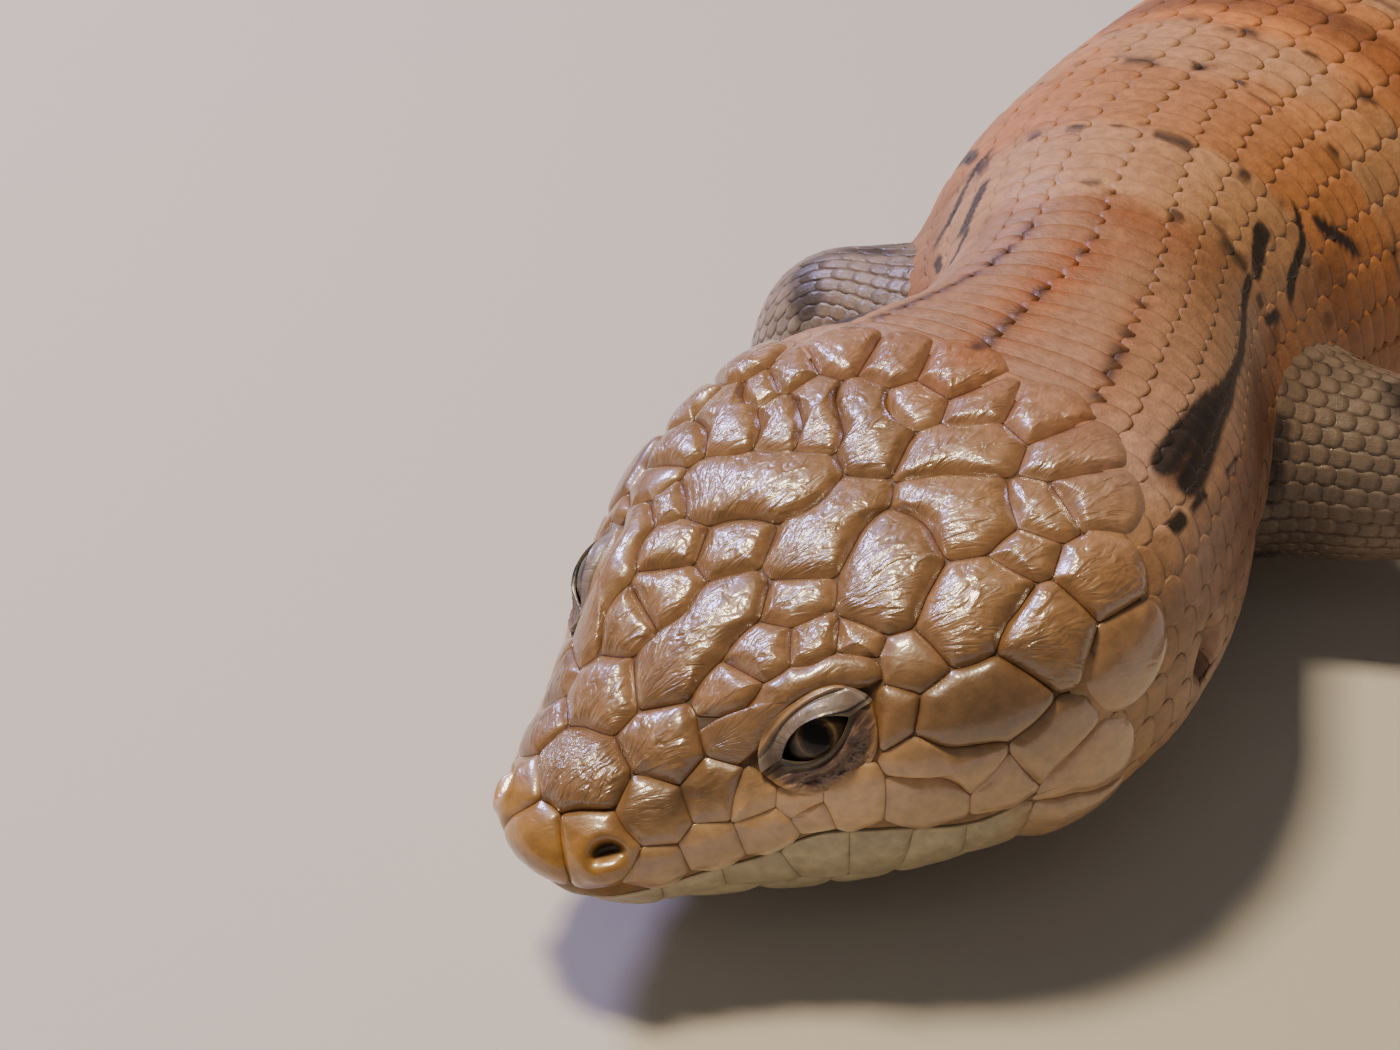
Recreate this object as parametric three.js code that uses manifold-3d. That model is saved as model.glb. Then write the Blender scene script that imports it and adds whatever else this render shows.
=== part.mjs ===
// A blue-tongued skink, life size, as a still museum model. Millimetres, +Z up, head towards -Y.
// The body is one long form along a spine line: stations give its half-width, its height above the spine
// and its depth below it, and thin cuts part it into named lengths.
import * as THREE from "three";
import { mergeVertices } from "three/addons/utils/BufferGeometryUtils.js";
import Module from "manifold-3d";

const wasm = await Module();
wasm.setup();

const GAP = 0.3;
// Details smaller than this are merged
const TINY = 0.01;
const DEG = Math.PI / 180;

// Distances along the spine from the snout
const SKULL_END = 36;
const TAIL_TIP = 528;
const HEAD_END = 56;
const NECK_END = 72;
const TORSO_PARTING = 165;
const TAIL_ROOT = 325;
const TAIL_PARTING_1 = 400;
const TAIL_PARTING_2 = 465;
const ORIGIN_AT = 205;
const HEAD_YAW = 24;

// Which way the spine runs towards the tail, in degrees from +Y towards +X
const HEADING = [
  [0, 20], [10, 21], [22, HEAD_YAW], [SKULL_END, HEAD_YAW], [44, 20], [54, 10], [66, -3], [78, -8], [92, -4],
  [112, 9], [150, 13], [205, 4], [290, -3], [345, 0], [410, 4], [470, -14], [TAIL_TIP, -32],
];
// Height of the spine line above the floor
const SPINE_HEIGHT = [
  [0, 13.7], [12, 15.27], [24, 16.83], [36, 18.3], [48, 19.2], [60, 19.5], [84, 19], [110, 17.5], [200, 17],
  [300, 16], [335, 13.5], [400, 10], [460, 6.6], [510, 3.4], [TAIL_TIP, 2.2],
];
const HALF_WIDTH = [
  [0, 7.8], [4, 7.8], [8, 9.5], [14, 13.2], [20, 17.7], [26, 21.2], [34, 24.2], [40, 25.0], [46, 24.5],
  [52, 22.8], [60, 20.4], [68, 18.0], [76, 16.8], [86, 19.2], [98, 23.6], [115, 26.6], [140, 29.0],
  [180, 31.5], [225, 32.5], [265, 31.0], [298, 26.5], [320, 21.5], [338, 17.8], [370, 15.0], [410, 12.0],
  [450, 8.8], [490, 5.6], [TAIL_TIP, 2.3],
];
const RISE = [
  [0, 3.2], [4, 4.6], [8, 6.0], [14, 9.0], [20, 11.6], [26, 13.6], [34, 15.8], [42, 17.6], [50, 19.0],
  [64, 20.5], [84, 24.0], [110, 26.0], [150, 27.0], [210, 27.5], [270, 25.5], [310, 20.8], [338, 17.0],
  [370, 14.2], [410, 11.2], [450, 8.4], [490, 5.4], [TAIL_TIP, 2.2],
];
const DROP = [
  [0, 5.6], [6, 8.0], [14, 10.2], [24, 11.2], [36, 11.4], [46, 10.8], [60, 12.4], [74, 14.5], [90, 18.0],
  [110, 19.0], [200, 19.0], [300, 17.4], [335, 14.6], [400, 11.0], [460, 7.4], [510, 4.0], [TAIL_TIP, 2.6],
];
// Squareness of the section: 2 is an ellipse, more is boxier
const SQUARE_TOP = [
  [0, 2.1], [8, 1.95], [15, 2.25], [24, 3.3], [48, 3.9], [56, 3.3], [66, 2.5], [100, 2.05], [200, 2.1],
  [330, 2.0], [TAIL_TIP, 2.0],
];
const SQUARE_BASE = [[0, 2.3], [30, 2.6], [60, 2.4], [100, 2.5], [200, 2.6], [330, 2.2], [TAIL_TIP, 2.0]];
const SNOUT_ROUND = 7.5;
const TAIL_ROUND = 3;

// The brow over each eye: how far it swells, and where
const BROW = { swell: 1.3, at: 19, along: 5, angle: 48, across: 13 };

// Height of the lips over the spine line, from the snout to the corner of the mouth
const MOUTH_LINE = [
  [-4, -3.6], [4, -3.2], [8, -2.2], [13, -1.3], [18, 0.8], [22, 0.4], [28, -0.8], [32, 0.1], [36, 1.6],
];
const MOUTH_CORNER = 35;
const LOWER_LIP_INSET = 0.5;

// Eyes: where each ball sits, how deep, its lids, and the two corners of the opening
const EYE = { at: 19.4, angle: 32, ball: 4.1, sunk: 3.2, lid: 4.8, long: 7.4, open: 3.4 };
const EYE_FRONT = { at: 15.8, angle: 28.5 };
const EYE_REAR = { at: 22.8, angle: 36 };
const NOSTRIL = { at: 3.4, angle: 14, long: 1.05, wide: 0.8, deep: 1.3 };
const EAR = { at: 50, angle: 6, tall: 2.6, wide: 1.8, deep: 2.4 };

// Head shields: how far along and round each end of a ridge is, and how much the shield outgrows others
const SHIELDS = {
  rostral: [0.8, 88, 0.8, 88, 0.2],
  frontonasal: [5.7, 76, 5.7, 100, 0.5],
  prefrontal_left: [11.2, 50, 11.2, 62, 0],
  prefrontal_right: [11.6, 104, 11.4, 118, 0],
  frontal: [14.2, 86, 22.6, 86, -0.2],
  supraocular_left_1: [16.6, 55, 16.6, 55, 0],
  supraocular_left_2: [20.2, 60, 20.2, 60, 0],
  supraocular_left_3: [23.0, 53, 23.0, 53, -0.3],
  supraocular_left_4: [25.4, 47, 25.4, 47, -0.5],
  supraocular_right_1: [16.3, 121, 16.3, 121, 0],
  supraocular_right_2: [19.8, 112, 19.8, 112, 0],
  supraocular_right_3: [23.0, 122, 23.0, 122, 0],
  supraocular_right_4: [25.8, 132, 25.8, 132, -0.3],
  frontoparietal_left: [25.2, 70, 25.2, 70, -0.3],
  frontoparietal_right: [25.8, 103, 25.8, 103, 0],
  interparietal: [28.5, 81, 34.8, 84, 0],
  parietal_left: [33.9, 66, 29.5, 52, 0.35],
  parietal_right: [29.1, 123, 33.4, 103.5, 0.5],
  temporal_upper_left: [31.8, 41.5, 35.0, 43, 0.3],
  occipital_left: [38.2, 70, 38.4, 56, 0.5],
  nuchal_left: [40.4, 80, 44.5, 74, 0.1],
  occipital: [42.5, 111.5, 38.7, 92.5, 0],
  nuchal_right: [44.6, 99.5, 44.6, 99.5, 0],
  occipital_right: [41.3, 123, 37.9, 111, -0.3],
  temporal_upper_right_1: [37.7, 125, 36.5, 120.5, -0.2],
  temporal_upper_right_2: [36.5, 139.5, 34.5, 130.5, -0.1],
  temporal_upper_right_3: [31.6, 141, 31.6, 141, 0],
  nuchal_rear_left_1: [47.0, 83, 47.0, 83, 0],
  nuchal_rear_left_2: [48.2, 71, 48.2, 71, 0],
  nuchal_rear_left_3: [46.8, 58.6, 46.8, 58.6, 0],
  nuchal_rear_left_4: [44.9, 48.6, 44.9, 48.6, -0.2],
  nuchal_rear_right_1: [48.8, 98, 48.8, 98, 0],
  nuchal_rear_right_2: [47.0, 112, 47.0, 112, 0],
  nuchal_rear_right_3: [45.4, 124, 45.4, 124, 0],
};
// These shields are alike on both sides
const PAIRED_SHIELDS = {
  nasal: [3.4, 14, 3.2, 40, -0.35],
  loreal_front: [7.8, 30, 7.8, 30, 0],
  loreal_rear: [11.8, 28, 11.8, 28, 0],
  postocular_upper: [27.2, 39, 27.2, 39, -0.4],
  postocular_lower: [24.0, 30.5, 24.0, 30.5, -0.8],
  temporal_middle: [27.4, 23.6, 30.8, 23.2, 0],
  temporal_rear: [35.8, 31.5, 36.6, 32.5, 0.05],
  temporal_low_front: [24.8, 16.5, 28.6, 11.5, -0.2],
  temporal_low_rear: [32.6, 10, 34.0, 10, 0],
  cheek: [41.0, 21, 41.0, 21, 0],
  nuchal_side_1: [41.2, 36, 41.2, 36, -0.2],
  nuchal_side_2: [38.6, 46.2, 38.6, 46.2, -0.3],
  nuchal_side_3: [41.9, 51, 41.9, 51, -0.2],
};
// Upper lip shields: distance along, height of the middle over the lips and how much it outgrows others
const LABIALS = [
  [6.2, 2.0, -0.3], [10.2, 2.2, -0.25], [13.8, 2.3, -0.2], [16.8, 2.0, -0.9], [19.6, 3.0, -0.3],
  [24.6, 3.4, 0.6], [30.2, 3.2, 0.2],
];
// Each shield is a low plate: its seam, its foot, its rim and its raised middle
const PLATE = {
  sides: 7, seam: 0.32, sunk: 1.2, rim: 0.15, dome: 0.85, most: 6.4, widest: 4.2, shoulder: 0.62,
};

// Legs: where each joint is, as distance along the spine, out from it, back from there and above the floor
const FORELEG_AT = 82;
const HINDLEG_AT = 292;
const LEGS = {
  foreleg_left: {
    at: FORELEG_AT, side: 1, path: [[6, 0, 16], [24, 1, 17], [38, 2, 15.5], [45, -5, 11], [50, -10, 7]],
    thick: [10.4, 9.4, 6.8, 5.2, 3.8], foot: "forefoot_left", toe: 38,
  },
  foreleg_right: {
    at: FORELEG_AT, side: -1, path: [[4, 2, 16], [17, 5, 18.5], [28, 7, 19], [31, 4, 12.5], [32, 0, 7]],
    thick: [10, 8.8, 6.8, 5.2, 3.8], foot: "forefoot_right", toe: 2,
  },
  hindleg_left: {
    at: HINDLEG_AT, side: 1, path: [[6, 0, 14], [24, -6, 16.5], [38, -10, 16], [44, 0, 11.5], [48, 8, 7]],
    thick: [13, 11, 7.6, 5.8, 4.1], foot: "hindfoot_left", toe: 42,
  },
  hindleg_right: {
    at: HINDLEG_AT, side: -1, path: [[6, 0, 14], [24, -4, 16.5], [38, -6, 16], [44, 4, 11.5], [46, 12, 7]],
    thick: [13, 11, 7.6, 5.8, 4.1], foot: "hindfoot_right", toe: 30,
  },
};
// Each toe: its angle from the middle one and its length; each foot: its palm
const FORE_TOES = [[-58, 7], [-28, 9.5], [0, 10.5], [26, 9.5], [58, 6.5]];
const HIND_TOES = [[-52, 6.5], [-24, 9.5], [0, 12], [24, 13], [58, 9]];
const FORE_PALM = { long: 10, wide: 5.6, tall: 8.2, knuckle: 4.6 };
const HIND_PALM = { long: 13, wide: 6.0, tall: 8.6, knuckle: 4.8 };
const TOE_THICK = 1.75;
const CLAW = { long: 4.2, thick: 0.95, dip: 1.1 };

// A smooth curve through stations that never overshoots them
function smooth(stations) {
  const x = stations.map((p) => p[0]);
  const y = stations.map((p) => p[1]);
  const slope = [];
  for (let i = 0; i + 1 < x.length; i += 1) slope.push((y[i + 1] - y[i]) / (x[i + 1] - x[i]));
  const bend = x.map((_, i) => {
    if (i === 0) return slope[0];
    if (i === x.length - 1) return slope[i - 1];
    if (slope[i - 1] * slope[i] <= 0) return 0;
    const a = x[i] - x[i - 1];
    const b = x[i + 1] - x[i];
    return (3 * (a + b)) / ((2 * b + a) / slope[i - 1] + (b + 2 * a) / slope[i]);
  });
  return (at) => {
    const s = Math.min(Math.max(at, x[0]), x[x.length - 1]);
    let i = 0;
    while (i < x.length - 2 && s > x[i + 1]) i += 1;
    const h = x[i + 1] - x[i];
    const t = (s - x[i]) / h;
    const [t2, t3] = [t * t, t * t * t];
    return (2 * t3 - 3 * t2 + 1) * y[i] + (t3 - 2 * t2 + t) * h * bend[i]
      + (3 * t2 - 2 * t3) * y[i + 1] + (t3 - t2) * h * bend[i + 1];
  };
}

const heading = smooth(HEADING);
const spineHeight = smooth(SPINE_HEIGHT);
const halfWidth = smooth(HALF_WIDTH);
const rise = smooth(RISE);
const drop = smooth(DROP);
const squareTop = smooth(SQUARE_TOP);
const squareBase = smooth(SQUARE_BASE);
const mouthLine = smooth(MOUTH_LINE);

// How steeply the spine rises towards the tail
function climb(s) {
  const low = Math.min(Math.max(s - 0.5, 0), TAIL_TIP - 1);
  const high = Math.min(Math.max(s + 0.5, 1), TAIL_TIP);
  return (spineHeight(high) - spineHeight(low)) / (high - low);
}

// The spine in millimetre steps, moved so that ORIGIN_AT stands over the origin
const spine = [];
{
  const at = new THREE.Vector3();
  for (let s = 0; s <= TAIL_TIP; s += 1) {
    spine.push(new THREE.Vector3(at.x, at.y, spineHeight(s)));
    const turn = heading(s + 0.5) * DEG;
    const level = Math.sqrt(1 - climb(s + 0.5) ** 2);
    at.x += Math.sin(turn) * level;
    at.y += Math.cos(turn) * level;
  }
  const origin = spine[ORIGIN_AT].clone().setZ(0);
  spine.forEach((p) => p.sub(origin));
}

// The spine's place at s, with the way to the tail, to the animal's left and up
function spineAt(s) {
  const i = Math.min(Math.max(Math.floor(s), 0), TAIL_TIP - 1);
  const centre = spine[i].clone().lerp(spine[i + 1], s - i);
  const turn = heading(s) * DEG;
  const lift = climb(s);
  const level = Math.sqrt(1 - lift ** 2);
  const back = new THREE.Vector3(Math.sin(turn) * level, Math.cos(turn) * level, lift);
  const left = new THREE.Vector3(Math.cos(turn), -Math.sin(turn), 0);
  return { centre, back, left, up: left.clone().cross(back) };
}

// The outline of the section at s, where angle 0 is the animal's left and 90 is its back
function reach(s, angle) {
  const c = Math.abs(Math.cos(angle));
  const k = Math.abs(Math.sin(angle));
  const above = Math.sin(angle) > 0;
  const n = above ? squareTop(s) : squareBase(s);
  const tall = above ? rise(s) : drop(s);
  const snout = s < SNOUT_ROUND ? Math.sqrt(Math.max(0, 1 - (1 - s / SNOUT_ROUND) ** 2)) : 1;
  const left = TAIL_TIP - s;
  const tip = left < TAIL_ROUND ? Math.sqrt(Math.max(0, 1 - (1 - left / TAIL_ROUND) ** 2)) : 1;
  const round = (Math.atan2(k, c) / DEG - BROW.angle) / BROW.across;
  const along = (s - BROW.at) / BROW.along;
  const brow = above ? BROW.swell * Math.exp(-(round ** 2) - along ** 2) : 0;
  return snout * tip * (((c / halfWidth(s)) ** n + (k / tall) ** n) ** (-1 / n) + brow);
}

// A point of the body's outside, on or above the floor
function skinPoint(s, angle, grow = 0) {
  const { centre, left, up } = spineAt(s);
  const r = reach(s, angle) + grow;
  const p = centre.clone()
    .addScaledVector(left, r * Math.cos(angle))
    .addScaledVector(up, r * Math.sin(angle));
  if (p.z < -grow) p.z = -grow;
  return p;
}

// Closed geometry from rings of points: every ring has as many, and each end is a fan round its middle
function loft(rings) {
  const count = rings[0].length;
  const points = rings.flat();
  const faces = [];
  for (let i = 0; i + 1 < rings.length; i += 1) {
    for (let j = 0; j < count; j += 1) {
      const a = i * count + j;
      const b = i * count + ((j + 1) % count);
      faces.push([a, a + count, b], [b, a + count, b + count]);
    }
  }
  const middle = (ring) => ring
    .reduce((sum, p) => sum.add(p), new THREE.Vector3())
    .divideScalar(ring.length);
  const first = points.push(middle(rings[0])) - 1;
  const last = points.push(middle(rings[rings.length - 1])) - 1;
  const end = (rings.length - 1) * count;
  for (let j = 0; j < count; j += 1) {
    const k = (j + 1) % count;
    faces.push([first, j, k], [last, end + k, end + j]);
  }
  return { points, faces };
}

function solidOf({ points, faces }) {
  const geometry = new THREE.BufferGeometry();
  const places = points.flatMap((p) => [p.x, p.y, p.z]);
  geometry.setAttribute("position", new THREE.Float32BufferAttribute(places, 3));
  geometry.setIndex(faces.flat());
  const merged = mergeVertices(geometry, 1e-4);
  const make = (triangles) => new wasm.Manifold(new wasm.Mesh({
    numProp: 3, vertProperties: merged.attributes.position.array, triVerts: triangles,
  }));
  const index = merged.index.array;
  const whole = [];
  for (let i = 0; i < index.length; i += 3) {
    const [a, b, c] = [index[i], index[i + 1], index[i + 2]];
    if (a !== b && b !== c && a !== c) whole.push(a, b, c);
  }
  const made = make(new Uint32Array(whole));
  if (made.volume() > 0) return made;
  for (let i = 0; i < whole.length; i += 3) [whole[i + 1], whole[i + 2]] = [whole[i + 2], whole[i + 1]];
  return make(new Uint32Array(whole));
}

// The one largest closed body of a solid
function largest(solid) {
  return solid.decompose().sort((a, b) => b.volume() - a.volume())[0];
}

function bodyLength(from, to, rows, columns, grow = 0) {
  const rings = [];
  for (let i = 0; i <= rows; i += 1) {
    const s = from + ((to - from) * i) / rows;
    const ring = [];
    for (let j = 0; j < columns; j += 1) ring.push(skinPoint(s, (2 * Math.PI * j) / columns, grow));
    rings.push(ring);
  }
  return solidOf(loft(rings));
}

// The outward direction of the skin at a point
function outward(s, angle) {
  const along = skinPoint(s + 0.4, angle).sub(skinPoint(s - 0.4, angle));
  const round = skinPoint(s, angle + 0.03).sub(skinPoint(s, angle - 0.03));
  return along.cross(round).normalize();
}

function moved(geometry, matrix) {
  const copy = geometry.clone().applyMatrix4(matrix);
  copy.deleteAttribute("normal");
  copy.deleteAttribute("uv");
  const merged = mergeVertices(copy, 1e-4);
  const index = Array.from(merged.index.array);
  const points = [];
  const place = merged.attributes.position;
  for (let i = 0; i < place.count; i += 1) points.push(new THREE.Vector3().fromBufferAttribute(place, i));
  const faces = [];
  for (let i = 0; i < index.length; i += 3) faces.push(index.slice(i, i + 3));
  return solidOf({ points, faces });
}

// A frame whose z runs outwards at a place on the skin, and whose x follows a wanted direction
function placeOn(centre, out, along) {
  const x = along.clone().addScaledVector(out, -along.dot(out)).normalize();
  const y = out.clone().cross(x);
  return new THREE.Matrix4().makeBasis(x, y, out).setPosition(centre);
}

const ball = new THREE.IcosahedronGeometry(1, 3);
const coarseBall = new THREE.IcosahedronGeometry(1, 2);

function ellipsoid(frame, x, y, z, geometry = coarseBall) {
  return moved(geometry, frame.clone().multiply(new THREE.Matrix4().makeScale(x, y, z)));
}

// Everything below the lips and ahead of the corner of the mouth, moved by a part of the gap
function belowLips(shift) {
  const rings = [];
  const far = 60;
  for (let s = -4; s <= MOUTH_CORNER; s += 3) {
    const at = Math.min(s, MOUTH_CORNER) + shift;
    const { centre, left, up } = spineAt(at);
    const top = mouthLine(at) + shift;
    const corner = (x, z) => centre.clone().addScaledVector(left, x).addScaledVector(up, z);
    rings.push([corner(far, -far), corner(far, top), corner(-far, top), corner(-far, -far)]);
  }
  return solidOf(loft(rings));
}

// Shields as segments on the skin
const segments = [];
function addShield(name, [s1, a1, s2, a2, grow], built = true) {
  segments.push({
    name, built, grow, middle: [(s1 + s2) / 2, ((a1 + a2) / 2) * DEG],
    line: new THREE.Line3(skinPoint(s1, a1 * DEG), skinPoint(s2, a2 * DEG)),
  });
}
const mirrored = ([s1, a1, s2, a2, grow]) => [s1, 180 - a1, s2, 180 - a2, grow];
Object.entries(SHIELDS).forEach(([name, shield]) => addShield(name, shield));
Object.entries(PAIRED_SHIELDS).forEach(([name, shield]) => {
  addShield(`${name}_left`, shield);
  addShield(`${name}_right`, mirrored(shield));
});
LABIALS.forEach(([s, above, grow], i) => {
  const angle = Math.atan2(mouthLine(s) + above, halfWidth(s)) / DEG;
  const labial = [s, angle, s, angle, grow];
  addShield(`labial_left_${i + 1}`, labial);
  addShield(`labial_right_${i + 1}`, mirrored(labial));
});
// Each eye keeps its own room clear of shields
const eyeRoom = [EYE_FRONT.at + 1.5, EYE_FRONT.angle + 1, EYE_REAR.at - 1.5, EYE_REAR.angle - 1, 0.9];
addShield("eye_left", eyeRoom, false);
addShield("eye_right", mirrored(eyeRoom), false);

const nearest = new THREE.Vector3();
function fromShield(point, shield) {
  shield.line.closestPointToPoint(point, true, nearest);
  return nearest.distanceTo(point) - shield.grow;
}

// How far a shield runs over the skin in one direction before another is nearer
function shieldReach(shield, turn) {
  const [s0, a0] = shield.middle;
  const wide = Math.max(reach(s0, a0), 3);
  const at = (t) => [s0 + t * Math.cos(turn), a0 + (t * Math.sin(turn)) / wide];
  let [low, high] = [0.4, PLATE.most];
  for (let i = 0; i < 12; i += 1) {
    const t = (low + high) / 2;
    const [s, a] = at(t);
    const point = skinPoint(Math.max(s, 0.1), a);
    const own = fromShield(point, shield);
    const alone = segments.every((other) => other === shield || fromShield(point, other) > own);
    if (alone && own < PLATE.widest && s > 0.3) low = t;
    else high = t;
  }
  return (t) => at(Math.max(low - PLATE.seam, 0.5) * t);
}

function plate(shield) {
  const ways = [];
  for (let i = 0; i < PLATE.sides; i += 1) ways.push(shieldReach(shield, (2 * Math.PI * i) / PLATE.sides));
  const ring = (part, height) => ways.map((way) => {
    const [s, a] = way(part);
    return skinPoint(Math.max(s, 0.15), a, height);
  });
  return solidOf(loft([ring(0.8, -PLATE.sunk), ring(1, PLATE.rim), ring(PLATE.shoulder, PLATE.dome)]));
}

// A tapering round form through points; its end is rounded off
function limb(path, thick, sides, { grow = 0, squash = 1, fine = 1 } = {}) {
  const curve = new THREE.CatmullRomCurve3(path, false, "centripetal");
  const radius = smooth(thick.map((t, i) => [i / (thick.length - 1), t]));
  const steps = (path.length - 1) * fine;
  const rings = [];
  let side = new THREE.Vector3(0, 0, 1);
  for (let i = 0; i <= steps; i += 1) {
    const t = i / steps;
    const along = curve.getTangent(t);
    side = side.clone().addScaledVector(along, -side.dot(along)).normalize();
    const other = along.clone().cross(side);
    const r = radius(t) + grow;
    const ring = [];
    const centre = curve.getPoint(t);
    if (i === steps) centre.addScaledVector(along, grow);
    for (let j = 0; j < sides; j += 1) {
      const a = (2 * Math.PI * (j + 0.5)) / sides;
      const p = centre.clone()
        .addScaledVector(side, r * squash * Math.cos(a))
        .addScaledVector(other, r * Math.sin(a));
      p.z = Math.max(p.z, 0);
      ring.push(p);
    }
    rings.push(ring);
  }
  return solidOf(loft(rings));
}

const model = new THREE.Group();

function addNode(name, solid, color, roughness) {
  const mesh = largest(solid.simplify(TINY)).getMesh();
  const geometry = new THREE.BufferGeometry();
  const places = new Float32Array(mesh.numVert * 3);
  for (let i = 0; i < mesh.numVert; i += 1) {
    places.set(mesh.vertProperties.subarray(i * mesh.numProp, i * mesh.numProp + 3), i * 3);
  }
  geometry.setAttribute("position", new THREE.BufferAttribute(places, 3));
  geometry.setIndex(new THREE.BufferAttribute(mesh.triVerts, 1));
  const node = new THREE.Mesh(geometry, new THREE.MeshStandardMaterial({ color, roughness, metalness: 0 }));
  node.name = name;
  model.add(node);
}

// Head: the body form with its shields, lids, nostrils and ears, parted from the lower jaw at the lips
let head = bodyLength(0.03, HEAD_END, 24, 30);
const eyes = {};
for (const [name, mirror] of [["left", (a) => a * DEG], ["right", (a) => (180 - a) * DEG]]) {
  const out = outward(EYE.at, mirror(EYE.angle));
  const centre = skinPoint(EYE.at, mirror(EYE.angle)).addScaledVector(out, -EYE.sunk);
  const slit = skinPoint(EYE_REAR.at, mirror(EYE_REAR.angle))
    .sub(skinPoint(EYE_FRONT.at, mirror(EYE_FRONT.angle)));
  eyes[name] = placeOn(centre, out, slit);
  head = head.add(ellipsoid(eyes[name], EYE.lid * 1.1, EYE.lid * 0.93, EYE.lid, ball));
}
segments.filter((shield) => shield.built).forEach((shield) => {
  head = head.add(plate(shield));
});
for (const [name, mirror] of [["left", (a) => a * DEG], ["right", (a) => (180 - a) * DEG]]) {
  const socket = EYE.ball + GAP;
  const almond = new THREE.Shape();
  almond.moveTo(-EYE.long / 2, 0);
  almond.quadraticCurveTo(0, EYE.open * 1.05, EYE.long / 2, 0);
  almond.quadraticCurveTo(0, -EYE.open * 0.95, -EYE.long / 2, 0);
  const slot = new THREE.ExtrudeGeometry(almond, { depth: 9, bevelEnabled: false, curveSegments: 6 });
  head = head.subtract(ellipsoid(eyes[name], socket, socket, socket, ball));
  head = head.subtract(moved(slot, eyes[name]));
  const along = (s, a) => skinPoint(s + 1, mirror(a)).sub(skinPoint(s - 1, mirror(a)));
  const nostril = placeOn(
    skinPoint(NOSTRIL.at, mirror(NOSTRIL.angle), 0.3), outward(NOSTRIL.at, mirror(NOSTRIL.angle)),
    along(NOSTRIL.at, NOSTRIL.angle));
  head = head.subtract(ellipsoid(nostril, NOSTRIL.long, NOSTRIL.wide, NOSTRIL.deep));
  const ear = placeOn(
    skinPoint(EAR.at, mirror(EAR.angle)), outward(EAR.at, mirror(EAR.angle)), along(EAR.at, EAR.angle));
  head = head.subtract(ellipsoid(ear, EAR.wide, EAR.tall, EAR.deep));
}
head = head.subtract(belowLips(GAP / 2));
addNode("head", head, 0x8a6f42, 0.34);
const jaw = bodyLength(0.6, HEAD_END - 4, 16, 28, -LOWER_LIP_INSET).intersect(belowLips(-GAP / 2));
addNode("lower_jaw", jaw, 0xb0a585, 0.5);
for (const name of ["left", "right"]) {
  addNode(`eye_${name}`, ellipsoid(eyes[name], EYE.ball, EYE.ball, EYE.ball, ball), 0x1c130c, 0.08);
}

// Neck, torso and tail, each as where it starts and ends, its rows and its columns
const LENGTHS = {
  neck: [HEAD_END + GAP, NECK_END, 4, 30],
  torso_front: [NECK_END + GAP, TORSO_PARTING, 8, 30],
  torso_rear: [TORSO_PARTING + GAP, TAIL_ROOT, 13, 30],
  tail_base: [TAIL_ROOT + GAP, TAIL_PARTING_1, 8, 24],
  tail_middle: [TAIL_PARTING_1 + GAP, TAIL_PARTING_2, 6, 18],
  tail_tip: [TAIL_PARTING_2 + GAP, TAIL_TIP - 0.03, 9, 14],
};
Object.entries(LENGTHS).forEach(([name, length]) => {
  addNode(name, bodyLength(...length), 0xa57a4c, 0.45);
});

// Legs and feet
const around = (name) => bodyLength(...LENGTHS[name], GAP);
const trunk = {
  [FORELEG_AT]: around("neck").add(around("torso_front")).add(bodyLength(HEAD_END, 100, 8, 30, GAP)),
  [HINDLEG_AT]: around("torso_rear").add(around("tail_base")).add(bodyLength(300, 340, 4, 30, GAP)),
};
for (const [name, leg] of Object.entries(LEGS)) {
  const { centre, back, left } = spineAt(leg.at);
  const place = ([out, behind, height]) => centre.clone()
    .addScaledVector(left, leg.side * out)
    .addScaledVector(back, behind)
    .setZ(height);
  const path = leg.path.map(place);
  addNode(name, limb(path, leg.thick, 12, { fine: 2 }).subtract(trunk[leg.at]), 0x7d6a52, 0.5);

  const fore = leg.at === FORELEG_AT;
  const palm = fore ? FORE_PALM : HIND_PALM;
  const toes = fore ? FORE_TOES : HIND_TOES;
  const wrist = path[path.length - 1];
  const way = (turn) => {
    const angle = (leg.toe + turn) * DEG;
    return left.clone()
      .multiplyScalar(leg.side * Math.sin(angle))
      .addScaledVector(back, -Math.cos(angle))
      .setZ(0);
  };
  const ahead = way(0);
  const onWay = (from, direction, far, height) => from.clone().addScaledVector(direction, far).setZ(height);
  const soles = [-0.25, 0.1, 0.5, 0.85, 1].map((t) => {
    const sink = (palm.tall - palm.knuckle) * (t - 0.3) * 1.4;
    const tall = palm.tall - (t < 0.5 ? palm.tall * 0.12 * t : sink);
    return onWay(wrist, ahead, t * palm.long, Math.max(tall, palm.knuckle) / 2);
  });
  const palmThick = [3.2, 4.2, 4.8, palm.wide, palm.wide - 1];
  let foot = limb(soles, palmThick, 10, { squash: 0.78 });
  toes.forEach(([turn, long]) => {
    const direction = way(turn);
    const knuckle = onWay(wrist, ahead, palm.long * 0.72, 0)
      .addScaledVector(direction, palm.wide * 0.55);
    const joint = (t, height) => onWay(knuckle, direction, t * long, height);
    foot = foot.add(limb(
      [joint(-0.35, 2.2), joint(0.3, 2.6), joint(0.7, 2.1), joint(1, 1.6)],
      [TOE_THICK, TOE_THICK, TOE_THICK * 0.9, TOE_THICK * 0.62], 6));
    const tip = (t, height) => joint(1, height).addScaledVector(direction, t * CLAW.long);
    foot = foot.add(limb(
      [tip(-0.3, 1.9), tip(0.4, 1.9), tip(1, 1.9 - CLAW.dip)], [CLAW.thick, CLAW.thick * 0.7, 0.12], 5));
  });
  addNode(leg.foot, foot.subtract(limb(path, leg.thick, 12, { grow: GAP, fine: 2 })), 0x74634e, 0.5);
}

export default model;
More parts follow.
